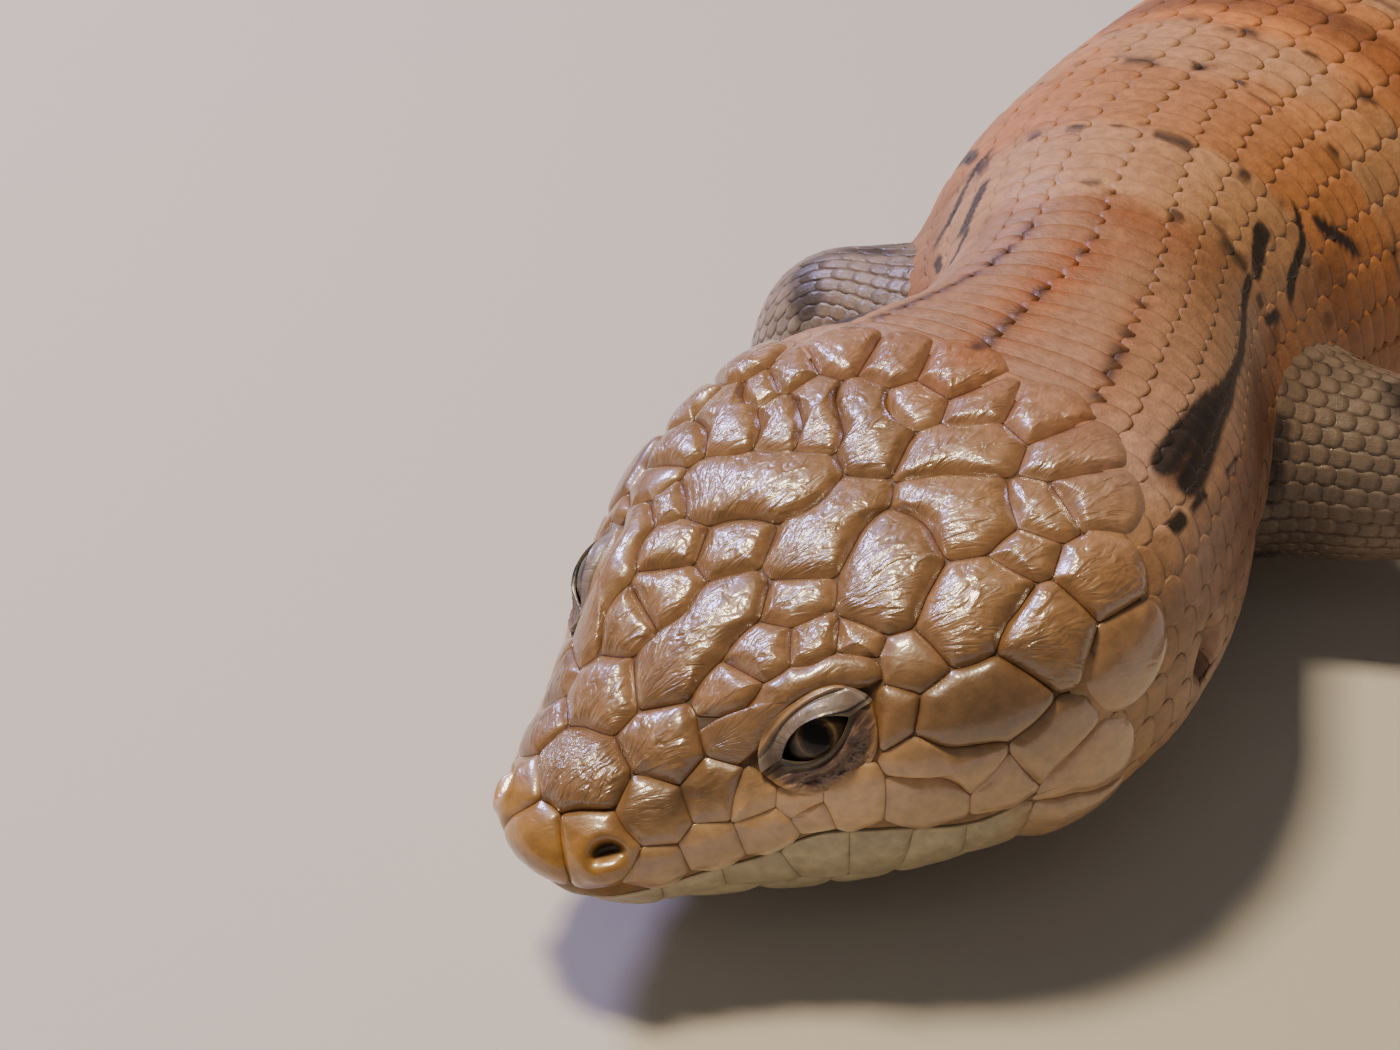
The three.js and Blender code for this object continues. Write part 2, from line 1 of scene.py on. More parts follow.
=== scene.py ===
# A blue-tongued skink, life size: one skin from snout to tail tip, dressed with shields and scales.
# Lengths in the tables and functions are millimetres, angles are degrees, and pieces are made in metres.
import bpy
import numpy as np
from mathutils import Matrix, Vector


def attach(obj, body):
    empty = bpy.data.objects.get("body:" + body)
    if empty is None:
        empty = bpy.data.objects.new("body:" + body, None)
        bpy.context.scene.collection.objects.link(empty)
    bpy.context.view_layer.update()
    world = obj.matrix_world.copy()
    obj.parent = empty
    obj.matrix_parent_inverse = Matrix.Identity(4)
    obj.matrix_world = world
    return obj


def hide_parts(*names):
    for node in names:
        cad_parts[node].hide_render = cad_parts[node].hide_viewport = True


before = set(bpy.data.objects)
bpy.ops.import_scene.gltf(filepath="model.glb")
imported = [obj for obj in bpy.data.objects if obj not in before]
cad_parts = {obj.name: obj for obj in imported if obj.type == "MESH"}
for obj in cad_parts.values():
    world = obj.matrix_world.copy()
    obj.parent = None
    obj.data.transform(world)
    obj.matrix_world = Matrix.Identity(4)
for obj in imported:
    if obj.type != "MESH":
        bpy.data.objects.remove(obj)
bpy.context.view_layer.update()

MM = 0.001
DEG = np.pi / 180

# Body form, as in the solids: distances along the spine and the value at each
HEAD_YAW = 24
SKULL_END = 36
TAIL_TIP = 528
ORIGIN_AT = 205
HEADING = [
    (0, 20), (10, 21), (22, HEAD_YAW), (SKULL_END, HEAD_YAW), (44, 20), (54, 10), (66, -3), (78, -8),
    (92, -4), (112, 9), (150, 13), (205, 4), (290, -3), (345, 0), (410, 4), (470, -14), (TAIL_TIP, -32),
]
SPINE_HEIGHT = [
    (0, 13.7), (12, 15.27), (24, 16.83), (36, 18.3), (48, 19.2), (60, 19.5), (84, 19), (110, 17.5), (200, 17),
    (300, 16), (335, 13.5), (400, 10), (460, 6.6), (510, 3.4), (TAIL_TIP, 2.2),
]
HALF_WIDTH = [
    (0, 7.8), (4, 7.8), (8, 9.5), (14, 13.2), (20, 17.7), (26, 21.2), (34, 24.2), (40, 25.0), (46, 24.5),
    (52, 22.8), (60, 20.4), (68, 18.0), (76, 16.8), (86, 19.2), (98, 23.6), (115, 26.6), (140, 29.0),
    (180, 31.5), (225, 32.5), (265, 31.0), (298, 26.5), (320, 21.5), (338, 17.8), (370, 15.0), (410, 12.0),
    (450, 8.8), (490, 5.6), (TAIL_TIP, 2.3),
]
RISE = [
    (0, 3.2), (4, 4.6), (8, 6.0), (14, 9.0), (20, 11.6), (26, 13.6), (34, 15.8), (42, 17.6), (50, 19.0),
    (64, 20.5), (84, 24.0), (110, 26.0), (150, 27.0), (210, 27.5), (270, 25.5), (310, 20.8), (338, 17.0),
    (370, 14.2), (410, 11.2), (450, 8.4), (490, 5.4), (TAIL_TIP, 2.2),
]
DROP = [
    (0, 5.6), (6, 8.0), (14, 10.2), (24, 11.2), (36, 11.4), (46, 10.8), (60, 12.4), (74, 14.5), (90, 18.0),
    (110, 19.0), (200, 19.0), (300, 17.4), (335, 14.6), (400, 11.0), (460, 7.4), (510, 4.0), (TAIL_TIP, 2.6),
]
SQUARE_TOP = [
    (0, 2.1), (8, 1.95), (15, 2.25), (24, 3.3), (48, 3.9), (56, 3.3), (66, 2.5), (100, 2.05), (200, 2.1),
    (330, 2.0), (TAIL_TIP, 2.0),
]
SQUARE_BASE = [(0, 2.3), (30, 2.6), (60, 2.4), (100, 2.5), (200, 2.6), (330, 2.2), (TAIL_TIP, 2.0)]
SNOUT_ROUND = 7.5
TAIL_ROUND = 3
BROW = dict(swell=1.3, at=19, along=5, angle=48, across=13)
MOUTH_LINE = [
    (-4, -3.6), (4, -3.2), (8, -2.2), (13, -1.3), (18, 0.8), (22, 0.4), (28, -0.8), (32, 0.1), (36, 1.6),
]
MOUTH_CORNER = 35
LOWER_LIP_INSET = 0.5
EYE = dict(at=19.4, angle=32, ball=4.1, sunk=3.2, front=15.8, rear=22.8, front_angle=28.5, rear_angle=36)
SOCKET = dict(deep=2.2, long=4.6, tall=2.9, through=6)
NOSTRIL = dict(at=3.4, angle=14, deep=1.3, hole=1.35, fold=2.1, fold_high=0.14, fold_wide=0.6, flesh=1.5,
               flesh_high=0.42)
FLESH_DROP, FLESH_SLANT = 0.95, 0.45
EAR = dict(at=50, angle=6, tall=2.6, deep=2.4)

# Head shields: distance and angle of both ends of a shield's ridge, and how much it outgrows others
SHIELDS = {
    "rostral": (0.8, 88, 0.8, 88, 0.2),
    "frontonasal": (5.7, 76, 5.7, 100, 0.5),
    "prefrontal_left": (11.2, 50, 11.2, 62, 0),
    "prefrontal_right": (11.6, 104, 11.4, 118, 0),
    "frontal": (14.2, 86, 22.6, 86, -0.2),
    "supraocular_left_1": (16.6, 55, 16.6, 55, 0),
    "supraocular_left_2": (20.2, 60, 20.2, 60, 0),
    "supraocular_left_3": (23.0, 53, 23.0, 53, -0.3),
    "supraocular_left_4": (25.4, 47, 25.4, 47, -0.5),
    "supraocular_right_1": (16.3, 121, 16.3, 121, 0),
    "supraocular_right_2": (19.8, 112, 19.8, 112, 0),
    "supraocular_right_3": (23.0, 122, 23.0, 122, 0),
    "supraocular_right_4": (25.8, 132, 25.8, 132, -0.3),
    "frontoparietal_left": (25.2, 70, 25.2, 70, -0.3),
    "frontoparietal_right": (25.8, 103, 25.8, 103, 0),
    "interparietal": (28.5, 81, 34.8, 84, 0),
    "parietal_left": (33.9, 66, 29.5, 52, 0.35),
    "parietal_right": (29.1, 123, 33.4, 103.5, 0.5),
    "temporal_upper_left": (31.8, 41.5, 35.0, 43, 0.3),
    "occipital_left": (38.2, 70, 38.4, 56, 0.5),
    "nuchal_left": (40.4, 80, 44.5, 74, 0.1),
    "occipital": (42.5, 111.5, 38.7, 92.5, 0),
    "nuchal_right": (44.6, 99.5, 44.6, 99.5, 0),
    "occipital_right": (41.3, 123, 37.9, 111, -0.3),
    "temporal_upper_right_1": (37.7, 125, 36.5, 120.5, -0.2),
    "temporal_upper_right_2": (36.5, 139.5, 34.5, 130.5, -0.1),
    "temporal_upper_right_3": (31.6, 141, 31.6, 141, 0),
    "nuchal_rear_left_1": (47.0, 83, 47.0, 83, 0),
    "nuchal_rear_left_2": (48.2, 71, 48.2, 71, 0),
    "nuchal_rear_left_3": (46.8, 58.6, 46.8, 58.6, 0),
    "nuchal_rear_left_4": (44.9, 48.6, 44.9, 48.6, -0.2),
    "nuchal_rear_right_1": (48.8, 98, 48.8, 98, 0),
    "nuchal_rear_right_2": (47.0, 112, 47.0, 112, 0),
    "nuchal_rear_right_3": (45.4, 124, 45.4, 124, 0),
}
PAIRED_SHIELDS = {
    "nasal": (3.4, 14, 3.2, 40, -0.35),
    "loreal_front": (7.8, 30, 7.8, 30, 0),
    "loreal_rear": (11.8, 28, 11.8, 28, 0),
    "postocular_upper": (27.2, 39, 27.2, 39, -0.4),
    "postocular_lower": (24.0, 30.5, 24.0, 30.5, -0.8),
    "temporal_middle": (27.4, 23.6, 30.8, 23.2, 0),
    "temporal_rear": (35.8, 31.5, 36.6, 32.5, 0.05),
    "temporal_low_front": (24.8, 16.5, 28.6, 11.5, -0.2),
    "temporal_low_rear": (32.6, 10, 34.0, 10, 0),
    "cheek": (41.0, 21, 41.0, 21, 0),
    "nuchal_side_1": (41.2, 36, 41.2, 36, -0.2),
    "nuchal_side_2": (38.6, 46.2, 38.6, 46.2, -0.3),
    "nuchal_side_3": (41.9, 51, 41.9, 51, -0.2),
}
# These smaller shields are only in the skin: brow, eye corners, lower jaw and chin
SMALL_SHIELDS = {
    "brow": (14.4, 43.5, 23.8, 43, -0.3),
    "preocular": (13.6, 20, 13.6, 20, -0.5),
    "gape": (36.0, 3, 37.6, 1, 0),
    "gape_low": (35.8, -9, 37.4, -12, 0),
    "subocular": (16.4, 15, 16.4, 15, -0.7),
    "mental_side": (5.6, -62, 5.6, -62, 0),
    "chin_front": (9.6, -68, 9.6, -68, 0.2),
    "chin_middle": (14.8, -64, 14.8, -64, 0.2),
    "chin_rear": (20.4, -60, 20.4, -60, 0.2),
    "chin_side_1": (12.4, -42, 12.4, -42, 0),
    "chin_side_2": (17.4, -38, 17.4, -38, 0),
    "chin_side_3": (22.6, -35, 22.6, -35, 0),
    "chin_side_4": (27.6, -30, 27.6, -30, 0),
}
CHIN_SHIELDS = {"mental": (2.4, -90, 2.4, -90, 0.2), "postmental": (5.4, -90, 5.4, -90, 0)}
# Upper lip shields: distance along, height of the middle over the lips and how much it outgrows others
LABIALS = (
    (6.2, 2.0, -0.3), (10.2, 2.2, -0.25), (13.8, 2.3, -0.2), (16.8, 2.0, -0.9), (19.6, 3.0, -0.3),
    (24.6, 3.4, 0.6), (30.2, 3.2, 0.2),
)
LOWER_LABIALS = dict(count=7, start=5.0, pitch=4.1, below=2.3, grow=-0.2)


def smooth(stations):
    """A smooth curve through stations that never overshoots them."""
    x, y = np.array(stations, float).T
    run = np.diff(x)
    slope = np.diff(y) / run
    bend = np.concatenate([slope[:1], np.zeros(len(x) - 2), slope[-1:]])
    for i in range(1, len(x) - 1):
        if slope[i - 1] * slope[i] > 0:
            a, b = run[i - 1], run[i]
            bend[i] = 3 * (a + b) / ((2 * b + a) / slope[i - 1] + (b + 2 * a) / slope[i])

    def at(s):
        s = np.clip(s, x[0], x[-1])
        i = np.clip(np.searchsorted(x, s) - 1, 0, len(x) - 2)
        h = run[i]
        t = (s - x[i]) / h
        return ((2 * t**3 - 3 * t**2 + 1) * y[i] + (t**3 - 2 * t**2 + t) * h * bend[i]
                + (3 * t**2 - 2 * t**3) * y[i + 1] + (t**3 - t**2) * h * bend[i + 1])
    return at


heading, spine_height, half_width = smooth(HEADING), smooth(SPINE_HEIGHT), smooth(HALF_WIDTH)
rise, drop = smooth(RISE), smooth(DROP)
square_top, square_base, mouth_line = smooth(SQUARE_TOP), smooth(SQUARE_BASE), smooth(MOUTH_LINE)


def climb(s):
    """How steeply the spine rises towards the tail."""
    low, high = np.clip(s - 0.5, 0, TAIL_TIP - 1), np.clip(s + 0.5, 1, TAIL_TIP)
    return (spine_height(high) - spine_height(low)) / (high - low)


def walked(part):
    """How far the spine has gone at every whole step in one level direction, from the origin."""
    steps = np.arange(TAIL_TIP) + 0.5
    gone = np.concatenate([[0], np.cumsum(part(heading(steps) * DEG) * np.sqrt(1 - climb(steps) ** 2))])
    return gone - gone[ORIGIN_AT]


SPINE_S = np.arange(TAIL_TIP + 1)
SPINE = np.stack([walked(np.sin), walked(np.cos), spine_height(SPINE_S)], -1)


def spine_at(s):
    """Centre, the way to the tail, the animal's left and up, at distances s."""
    s = np.asarray(s, float)
    centre = np.stack([np.interp(s, SPINE_S, SPINE[:, k]) for k in range(3)], -1)
    turn, lift = heading(s) * DEG, climb(s)
    level = np.sqrt(1 - lift**2)
    back = np.stack([np.sin(turn) * level, np.cos(turn) * level, lift], -1)
    left = np.stack([np.cos(turn), -np.sin(turn), 0 * turn], -1)
    return centre, back, left, np.cross(left, back)


def rounded_end(share):
    """The half width of a round end, at a share of its length."""
    return np.sqrt(np.clip(1 - (1 - np.clip(share, 0, 1)) ** 2, 0, 1))


def reach(s, angle):
    """How far the skin is from the spine; angle 0 is the animal's left and 90 is its back."""
    c, k = np.abs(np.cos(angle)), np.abs(np.sin(angle))
    above = np.sin(angle) > 0
    n = np.where(above, square_top(s), square_base(s))
    tall = np.where(above, rise(s), drop(s))
    swell = (np.arctan2(np.sin(angle), c) / DEG - BROW["angle"]) / BROW["across"]
    brow = np.where(above, BROW["swell"] * np.exp(-swell**2 - ((s - BROW["at"]) / BROW["along"]) ** 2), 0)
    ends = rounded_end(s / SNOUT_ROUND) * rounded_end((TAIL_TIP - s) / TAIL_ROUND)
    return ends * (((c / half_width(s)) ** n + (k / tall) ** n) ** (-1 / n) + brow)


def step(low, high, x):
    """A smooth step from 0 at low to 1 at high."""
    t = np.clip((x - low) / (high - low), 0, 1)
    return t * t * (3 - 2 * t)


def bump(value, middle, half):
    """A round hump of 1 at a middle."""
    return np.exp(-((value - middle) / half) ** 2)


def lip_height(s, angle):
    """Height above the line of the lips; large where there are no lips."""
    return np.where(s < MOUTH_CORNER, reach(s, angle) * np.sin(angle) - mouth_line(s), 50.0)


def form(s, angle):
    """Points of the smooth form."""
    s, angle = np.broadcast_arrays(np.asarray(s, float), np.asarray(angle, float))
    centre, _, left, up = spine_at(s)
    r = reach(s, angle)
    below = step(-0.15, -0.7, r * np.sin(angle) - mouth_line(s)) * step(MOUTH_CORNER, MOUTH_CORNER - 2, s)
    r = r - LOWER_LIP_INSET * below
    return centre + left * (r * np.cos(angle))[..., None] + up * (r * np.sin(angle))[..., None]


def normal(s, angle):
    """The way out of the smooth form."""
    along = form(s + 0.15, angle) - form(np.maximum(s - 0.15, 0.01), angle)
    across = form(s, angle + 0.012) - form(s, angle - 0.012)
    n = np.cross(along, across)
    return n / np.maximum(np.linalg.norm(n, axis=-1, keepdims=True), 1e-9)


# Meshes
FLOOR_GAP = 0.02


def grid_faces(rows, columns, closed=False):
    """Quads of a grid whose points are listed row by row."""
    i, j = np.meshgrid(np.arange(rows - 1), np.arange(columns if closed else columns - 1), indexing="ij")
    k = (j + 1) % columns
    a, b = i * columns + j, i * columns + k
    return np.stack([a, b, b + columns, a + columns], -1).reshape(-1, 4)


def fan(ring, tip):
    """Triangles from a ring of points to a tip."""
    return np.stack([np.full(len(ring), tip), ring, np.roll(ring, -1)], -1)


def tube_faces(rows, columns, both=True):
    """Faces of a grid closed round, with fans to points that follow it: one at each end, or at the last."""
    count, ring = rows * columns, np.arange(columns)
    faces = [grid_faces(rows, columns, True), fan(count - columns + ring, count + both)]
    if both:
        faces.insert(1, fan(ring, count)[:, [0, 2, 1]])
    return faces


def with_ends(grid, ends=None):
    """A grid's values in a list, followed by those of its end points."""
    ends = np.stack([grid[0, 0], grid[-1, 0]]) if ends is None else ends
    return np.concatenate([grid.reshape(-1, grid.shape[-1]), ends])


class Coat:
    """Points, faces, colours, local places and bake places of one piece."""

    def __init__(self):
        self.count, self.parts = 0, []

    def add(self, points, faces, tint, detail, uv):
        points = np.reshape(points, (-1, 3))
        n = len(points)
        tint = np.reshape(tint, (n, -1))
        if tint.shape[1] == 3:
            tint = np.concatenate([tint, np.ones((n, 1))], -1)
        faces = [f + self.count for f in faces]
        self.parts.append((points, tint, np.reshape(detail, (-1, 3)), np.reshape(uv, (-1, 2)), faces))
        self.count += n

    def make(self, name, material, slot):
        points, tint, detail, uv = (np.concatenate([part[k] for part in self.parts]) for k in range(4))
        faces = [f for part in self.parts for f in part[4]]
        corners = np.concatenate([f.ravel() for f in faces]).astype(np.int32)
        sides = np.concatenate([np.full(len(f), f.shape[1]) for f in faces])
        mesh = bpy.data.meshes.new(name)
        mesh.vertices.add(len(points))
        mesh.vertices.foreach_set("co", (points * MM).astype(np.float32).ravel())
        mesh.loops.add(len(corners))
        mesh.loops.foreach_set("vertex_index", corners)
        mesh.polygons.add(len(sides))
        mesh.polygons.foreach_set("loop_start", (np.cumsum(sides) - sides).astype(np.int32))
        mesh.update(calc_edges=True)
        layer = mesh.uv_layers.new(name="OFBake")
        layer.data.foreach_set("uv", uv[corners].astype(np.float32).ravel())
        colour = mesh.attributes.new("tint", "FLOAT_COLOR", "POINT")
        colour.data.foreach_set("color", tint.astype(np.float32).ravel())
        local = mesh.attributes.new("detail", "FLOAT_VECTOR", "POINT")
        local.data.foreach_set("vector", detail.astype(np.float32).ravel())
        mesh.shade_smooth()
        mesh.materials.append(material)
        piece = bpy.data.objects.new(name, mesh)
        bpy.context.scene.collection.objects.link(piece)
        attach(piece, "root")
        return piece


PATCH = 0.003
SALT = np.random.default_rng(41)


def body_uv(s, angle):
    """Bake places of head and trunk, unrolled from the belly's midline."""
    return np.stack([0.01 + 0.97 * s / TAIL_TIP, 0.36 + 0.62 * np.mod(angle / (2 * np.pi) + 0.25, 1)], -1)


# Legs: each path is a list of places beside, behind and above the spine's place, as in the solids
FORELEG_AT, HINDLEG_AT = 82, 292
LEGS = {
    "foreleg_left": dict(at=FORELEG_AT, side=1, toe=38, thick=[10.4, 9.4, 6.8, 5.2, 3.8],
                         path=[(6, 0, 16), (24, 1, 17), (38, 2, 15.5), (45, -5, 11), (50, -10, 7)]),
    "foreleg_right": dict(at=FORELEG_AT, side=-1, toe=2, thick=[10, 8.8, 6.8, 5.2, 3.8],
                          path=[(4, 2, 16), (17, 5, 18.5), (28, 7, 19), (31, 4, 12.5), (32, 0, 7)]),
    "hindleg_left": dict(at=HINDLEG_AT, side=1, toe=42, thick=[13, 11, 7.6, 5.8, 4.1],
                         path=[(6, 0, 14), (24, -6, 16.5), (38, -10, 16), (44, 0, 11.5), (48, 8, 7)]),
    "hindleg_right": dict(at=HINDLEG_AT, side=-1, toe=30, thick=[13, 11, 7.6, 5.8, 4.1],
                          path=[(6, 0, 14), (24, -4, 16.5), (38, -6, 16), (44, 4, 11.5), (46, 12, 7)]),
}
# Toes: turn from the foot's own way, and length
FORE_TOES = [(-58, 7), (-28, 9.5), (0, 10.5), (26, 9.5), (58, 6.5)]
HIND_TOES = [(-52, 6.5), (-24, 9.5), (0, 12), (24, 13), (58, 9)]
FORE_PALM = dict(long=10, wide=5.6, tall=8.2, knuckle=4.6)
HIND_PALM = dict(long=13, wide=6.0, tall=8.6, knuckle=4.8)
TOE_THICK = 1.75
CLAW = dict(long=4.2, thick=0.95, dip=1.1, rows=14, sides=12)


class Tube:
    """A tapering round form through points, with its sides carried along without twist."""
    SAMPLES = 161

    def __init__(self, path, thick, squash=1.0):
        path = np.asarray(path, float)
        knots = np.concatenate([[2 * path[0] - path[1]], path, [2 * path[-1] - path[-2]]])
        t = np.linspace(0, 1, self.SAMPLES)
        at = t * (len(path) - 1)
        i = np.minimum(at.astype(int), len(path) - 2)
        w = (at - i)[:, None]
        p0, p1, p2, p3 = (knots[i + k] for k in range(4))
        pairs = ((p0, p1), (p1, p2), (p2, p3))
        d0, d1, d2 = (np.sqrt(np.linalg.norm(b - a, axis=-1))[:, None] for a, b in pairs)
        m1 = ((p1 - p0) / d0 - (p2 - p0) / (d0 + d1) + (p2 - p1) / d1) * d1
        m2 = ((p2 - p1) / d1 - (p3 - p1) / (d1 + d2) + (p3 - p2) / d2) * d1
        self.centre = ((2 * w**3 - 3 * w**2 + 1) * p1 + (w**3 - 2 * w**2 + w) * m1
                       + (3 * w**2 - 2 * w**3) * p2 + (w**3 - w**2) * m2)
        self.along = np.gradient(self.centre, axis=0)
        self.along /= np.linalg.norm(self.along, axis=-1, keepdims=True)
        side = np.array([0.0, 0.0, 1.0])
        sides = []
        for way in self.along:
            side = side - way * side.dot(way)
            side /= np.linalg.norm(side)
            sides.append(side)
        self.side = np.array(sides)
        self.other = np.cross(self.along, self.side)
        self.radius = smooth([(k / (len(thick) - 1), r) for k, r in enumerate(thick)])(t)
        self.squash = squash
        self.run = np.concatenate([[0], np.cumsum(np.linalg.norm(np.diff(self.centre, axis=0), axis=-1))])
        self.long = self.run[-1]

    def at(self, d, values):
        if values.ndim == 1:
            return np.interp(d, self.run, values)
        return np.stack([np.interp(d, self.run, values[:, k]) for k in range(3)], -1)

    def __call__(self, d, turn, height=0.0):
        """Points at a distance along, a turn round and a height over the form."""
        d, turn, height = np.broadcast_arrays(*(np.asarray(v, float) for v in (d, turn, height)))
        r = (self.at(d, self.radius) + height)[..., None]
        p = (self.at(d, self.centre) + self.at(d, self.side) * r * self.squash * np.cos(turn)[..., None]
             + self.at(d, self.other) * r * np.sin(turn)[..., None])
        p[..., 2] = np.maximum(p[..., 2], FLOOR_GAP)
        return p

    def away(self, points):
        """Distance of points from this form's outside, less than 0 within it."""
        pick = slice(0, None, 4)
        centre, radius = self.centre[pick], self.radius[pick]
        return (np.linalg.norm(points[..., None, :] - centre, axis=-1) - radius).min(-1)


def leg_tube(leg):
    """A leg's tube, through its places beside the spine."""
    centre, back, left, _ = spine_at(leg["at"])
    path = []
    for out, behind, height in leg["path"]:
        p = centre + left * leg["side"] * out + back * behind
        path.append((p[0], p[1], height))
    return Tube(path, leg["thick"])


TUBES = {name: leg_tube(leg) for name, leg in LEGS.items()}
FILLET, FILLET_REACH = 7.0, 34


def body_away(points):
    """Distance of points from the trunk, less than 0 within it."""
    near = np.linalg.norm(points[..., None, :2] - SPINE[::2, :2], axis=-1).argmin(-1) * 2.0
    centre, _, left, up = spine_at(near)
    x, z = ((points - centre) * left).sum(-1), ((points - centre) * up).sum(-1)
    return np.hypot(x, z) - reach(near, np.arctan2(z, x))


def blend(away):
    """How far a form swells at a distance from another, so that they meet in a hollow curve."""
    return np.maximum(FILLET - np.abs(away), 0) ** 2 / (4 * FILLET)


def fillet(s, points):
    """How far the trunk swells towards the legs."""
    grow = np.zeros(s.shape)
    for at in (FORELEG_AT, HINDLEG_AT):
        here = np.abs(s - at) < FILLET_REACH
        if here.any():
            away = [TUBES[name].away(points[here]) for name, leg in LEGS.items() if leg["at"] == at]
            grow[here] = blend(np.minimum(*away))
    return grow


# Eyes, ears and nostrils
def mirrored(angle, mirror):
    """An angle on the animal's left, or the one that mirrors it on the right."""
    return angle if mirror > 0 else 180 - angle


def on_both_sides(place):
    """A place on the form, on the animal's left and on its right."""
    return [form(place["at"], mirrored(place["angle"], mirror) * DEG) for mirror in (1, -1)]


def eye_frame(mirror):
    """An eye's own frame, x to the rear corner, y up and z out."""
    middle = mirrored(EYE["angle"], mirror) * DEG
    out = normal(EYE["at"], middle)
    surface = form(EYE["at"], middle)
    x = form(EYE["rear"], mirrored(EYE["rear_angle"], mirror) * DEG)
    x = x - form(EYE["front"], mirrored(EYE["front_angle"], mirror) * DEG)
    x -= out * x.dot(out)
    x /= np.linalg.norm(x)
    y = np.cross(out, x)
    y *= 1 if y[2] > 0 else -1
    return dict(mirror=mirror, middle=middle, surface=surface, centre=surface - out * EYE["sunk"],
                x=x, y=y, z=out)


EYES = {"left": eye_frame(1), "right": eye_frame(-1)}
EARS, NOSTRILS = on_both_sides(EAR), on_both_sides(NOSTRIL)


def pits(points):
    """How far eyes, ears and nostrils raise the surface over the smooth form: below 0 in their hollows."""
    over = np.zeros(points.shape[:-1])
    for eye in EYES.values():
        x, y, z = ((points - eye["surface"]) @ eye[axis] for axis in "xyz")
        hollow = np.exp(-((x / SOCKET["long"]) ** 2 + (y / SOCKET["tall"]) ** 2) ** 2.5)
        over -= SOCKET["deep"] * (z > -SOCKET["through"]) * hollow
    for ear in EARS:
        over -= EAR["deep"] * np.exp(-(np.linalg.norm(points - ear, axis=-1) / EAR["tall"] * 1.1) ** 4)
    for nostril in NOSTRILS:
        away = points - nostril
        height = away[..., 2]
        q = np.sqrt((away**2).sum(-1) + 0.4 * height**2)
        over += NOSTRIL["fold_high"] * bump(q, NOSTRIL["fold"], NOSTRIL["fold_wide"])
        level = (away**2).sum(-1) - height**2
        slanted = height + FLESH_DROP - FLESH_SLANT * away[..., 1]
        flesh = np.exp(-(level / NOSTRIL["flesh"] ** 2) ** 2 - (slanted / FLESH_DROP) ** 4)
        hole = NOSTRIL["deep"] * np.exp(-(q / NOSTRIL["hole"]) ** 5) * (1 - flesh)
        over += NOSTRIL["flesh_high"] * flesh - hole
    return over


def hide(s, angle, height=0.0):
    """The trunk and head with their swellings and pits, at a height over them."""
    s, angle, height = np.broadcast_arrays(np.asarray(s, float), np.asarray(angle, float), height)
    base = form(s, angle)
    rise_by = height + fillet(s, base)
    low = s < 56
    if low.any():
        rise_by = rise_by.copy()
        rise_by[low] += pits(base[low])
    p = base + normal(s, angle) * rise_by[..., None]
    p[..., 2] = np.maximum(p[..., 2], FLOOR_GAP)
    return p


# Columns: places round the body by the length of its outline, from the belly's midline
ROWS_AT = np.arange(0, TAIL_TIP + 1, 2.0)
TURNS = np.linspace(-90, 270, 721) * DEG
OUTLINES = form(np.clip(ROWS_AT, 0.2, TAIL_TIP - 0.2)[:, None], TURNS[None, :])
ARCS = np.concatenate([np.zeros((len(ROWS_AT), 1)),
                       np.cumsum(np.linalg.norm(np.diff(OUTLINES, axis=1), axis=-1), 1)], 1)
ROUND = ARCS[:, -1]
ARC_SHARE = ARCS / ROUND[:, None]
TURN_TABLE = np.stack([np.interp(np.linspace(0, 1, 361), arc / arc[-1], TURNS) for arc in ARCS])


def looked_up(table, s, column):
    """A value between the rows and columns of a table."""
    row = np.clip(s / 2.0, 0, len(ROWS_AT) - 1.001)
    i, j = row.astype(int), np.minimum(column.astype(int), table.shape[1] - 2)
    u, v = row - i, column - j
    return ((table[i, j] * (1 - v) + table[i, j + 1] * v) * (1 - u)
            + (table[i + 1, j] * (1 - v) + table[i + 1, j + 1] * v) * u)


def column_angle(s, share):
    """The angle of a column, given as a share of the way round."""
    laps = np.floor(share)
    return looked_up(TURN_TABLE, s, (share - laps) * 360) + laps * 2 * np.pi


def share_at(s, angle):
    """The share of the way round to an angle."""
    return looked_up(ARC_SHARE, s, np.mod(angle / DEG + 90, 360) * 2)


# Shields
# Near the snout's tip, shields are laid out as on a ball of this radius
CHART = SNOUT_ROUND
RAY_RATE, RAY_STRETCH = 0.48, 0.2
SMOOTH_SHIELDS = ("labial", "lower", "subocular", "preocular", "brow", "temporal_low", "temporal_middle",
                  "postocular", "loreal", "nasal", "rostral", "cheek", "gape", "chin", "mental", "postmental")
WRINKLED = ("brow", "loreal", "preocular")
# A shield's plate: how far it may run, its greatest widths, the heights of its rim, shoulder and dome, how
# far in the shoulder runs and how many turns its outline has; then the scalloped hems of the upper lip
PLATE = dict(most=8.5, widest=5.0, nose_widest=8.0, rim=-0.12, shoulder=0.38, run=1.2, dome=0.72, turns=96)
HEM = dict(edge=0.15, dip=0.36, half=2.0)


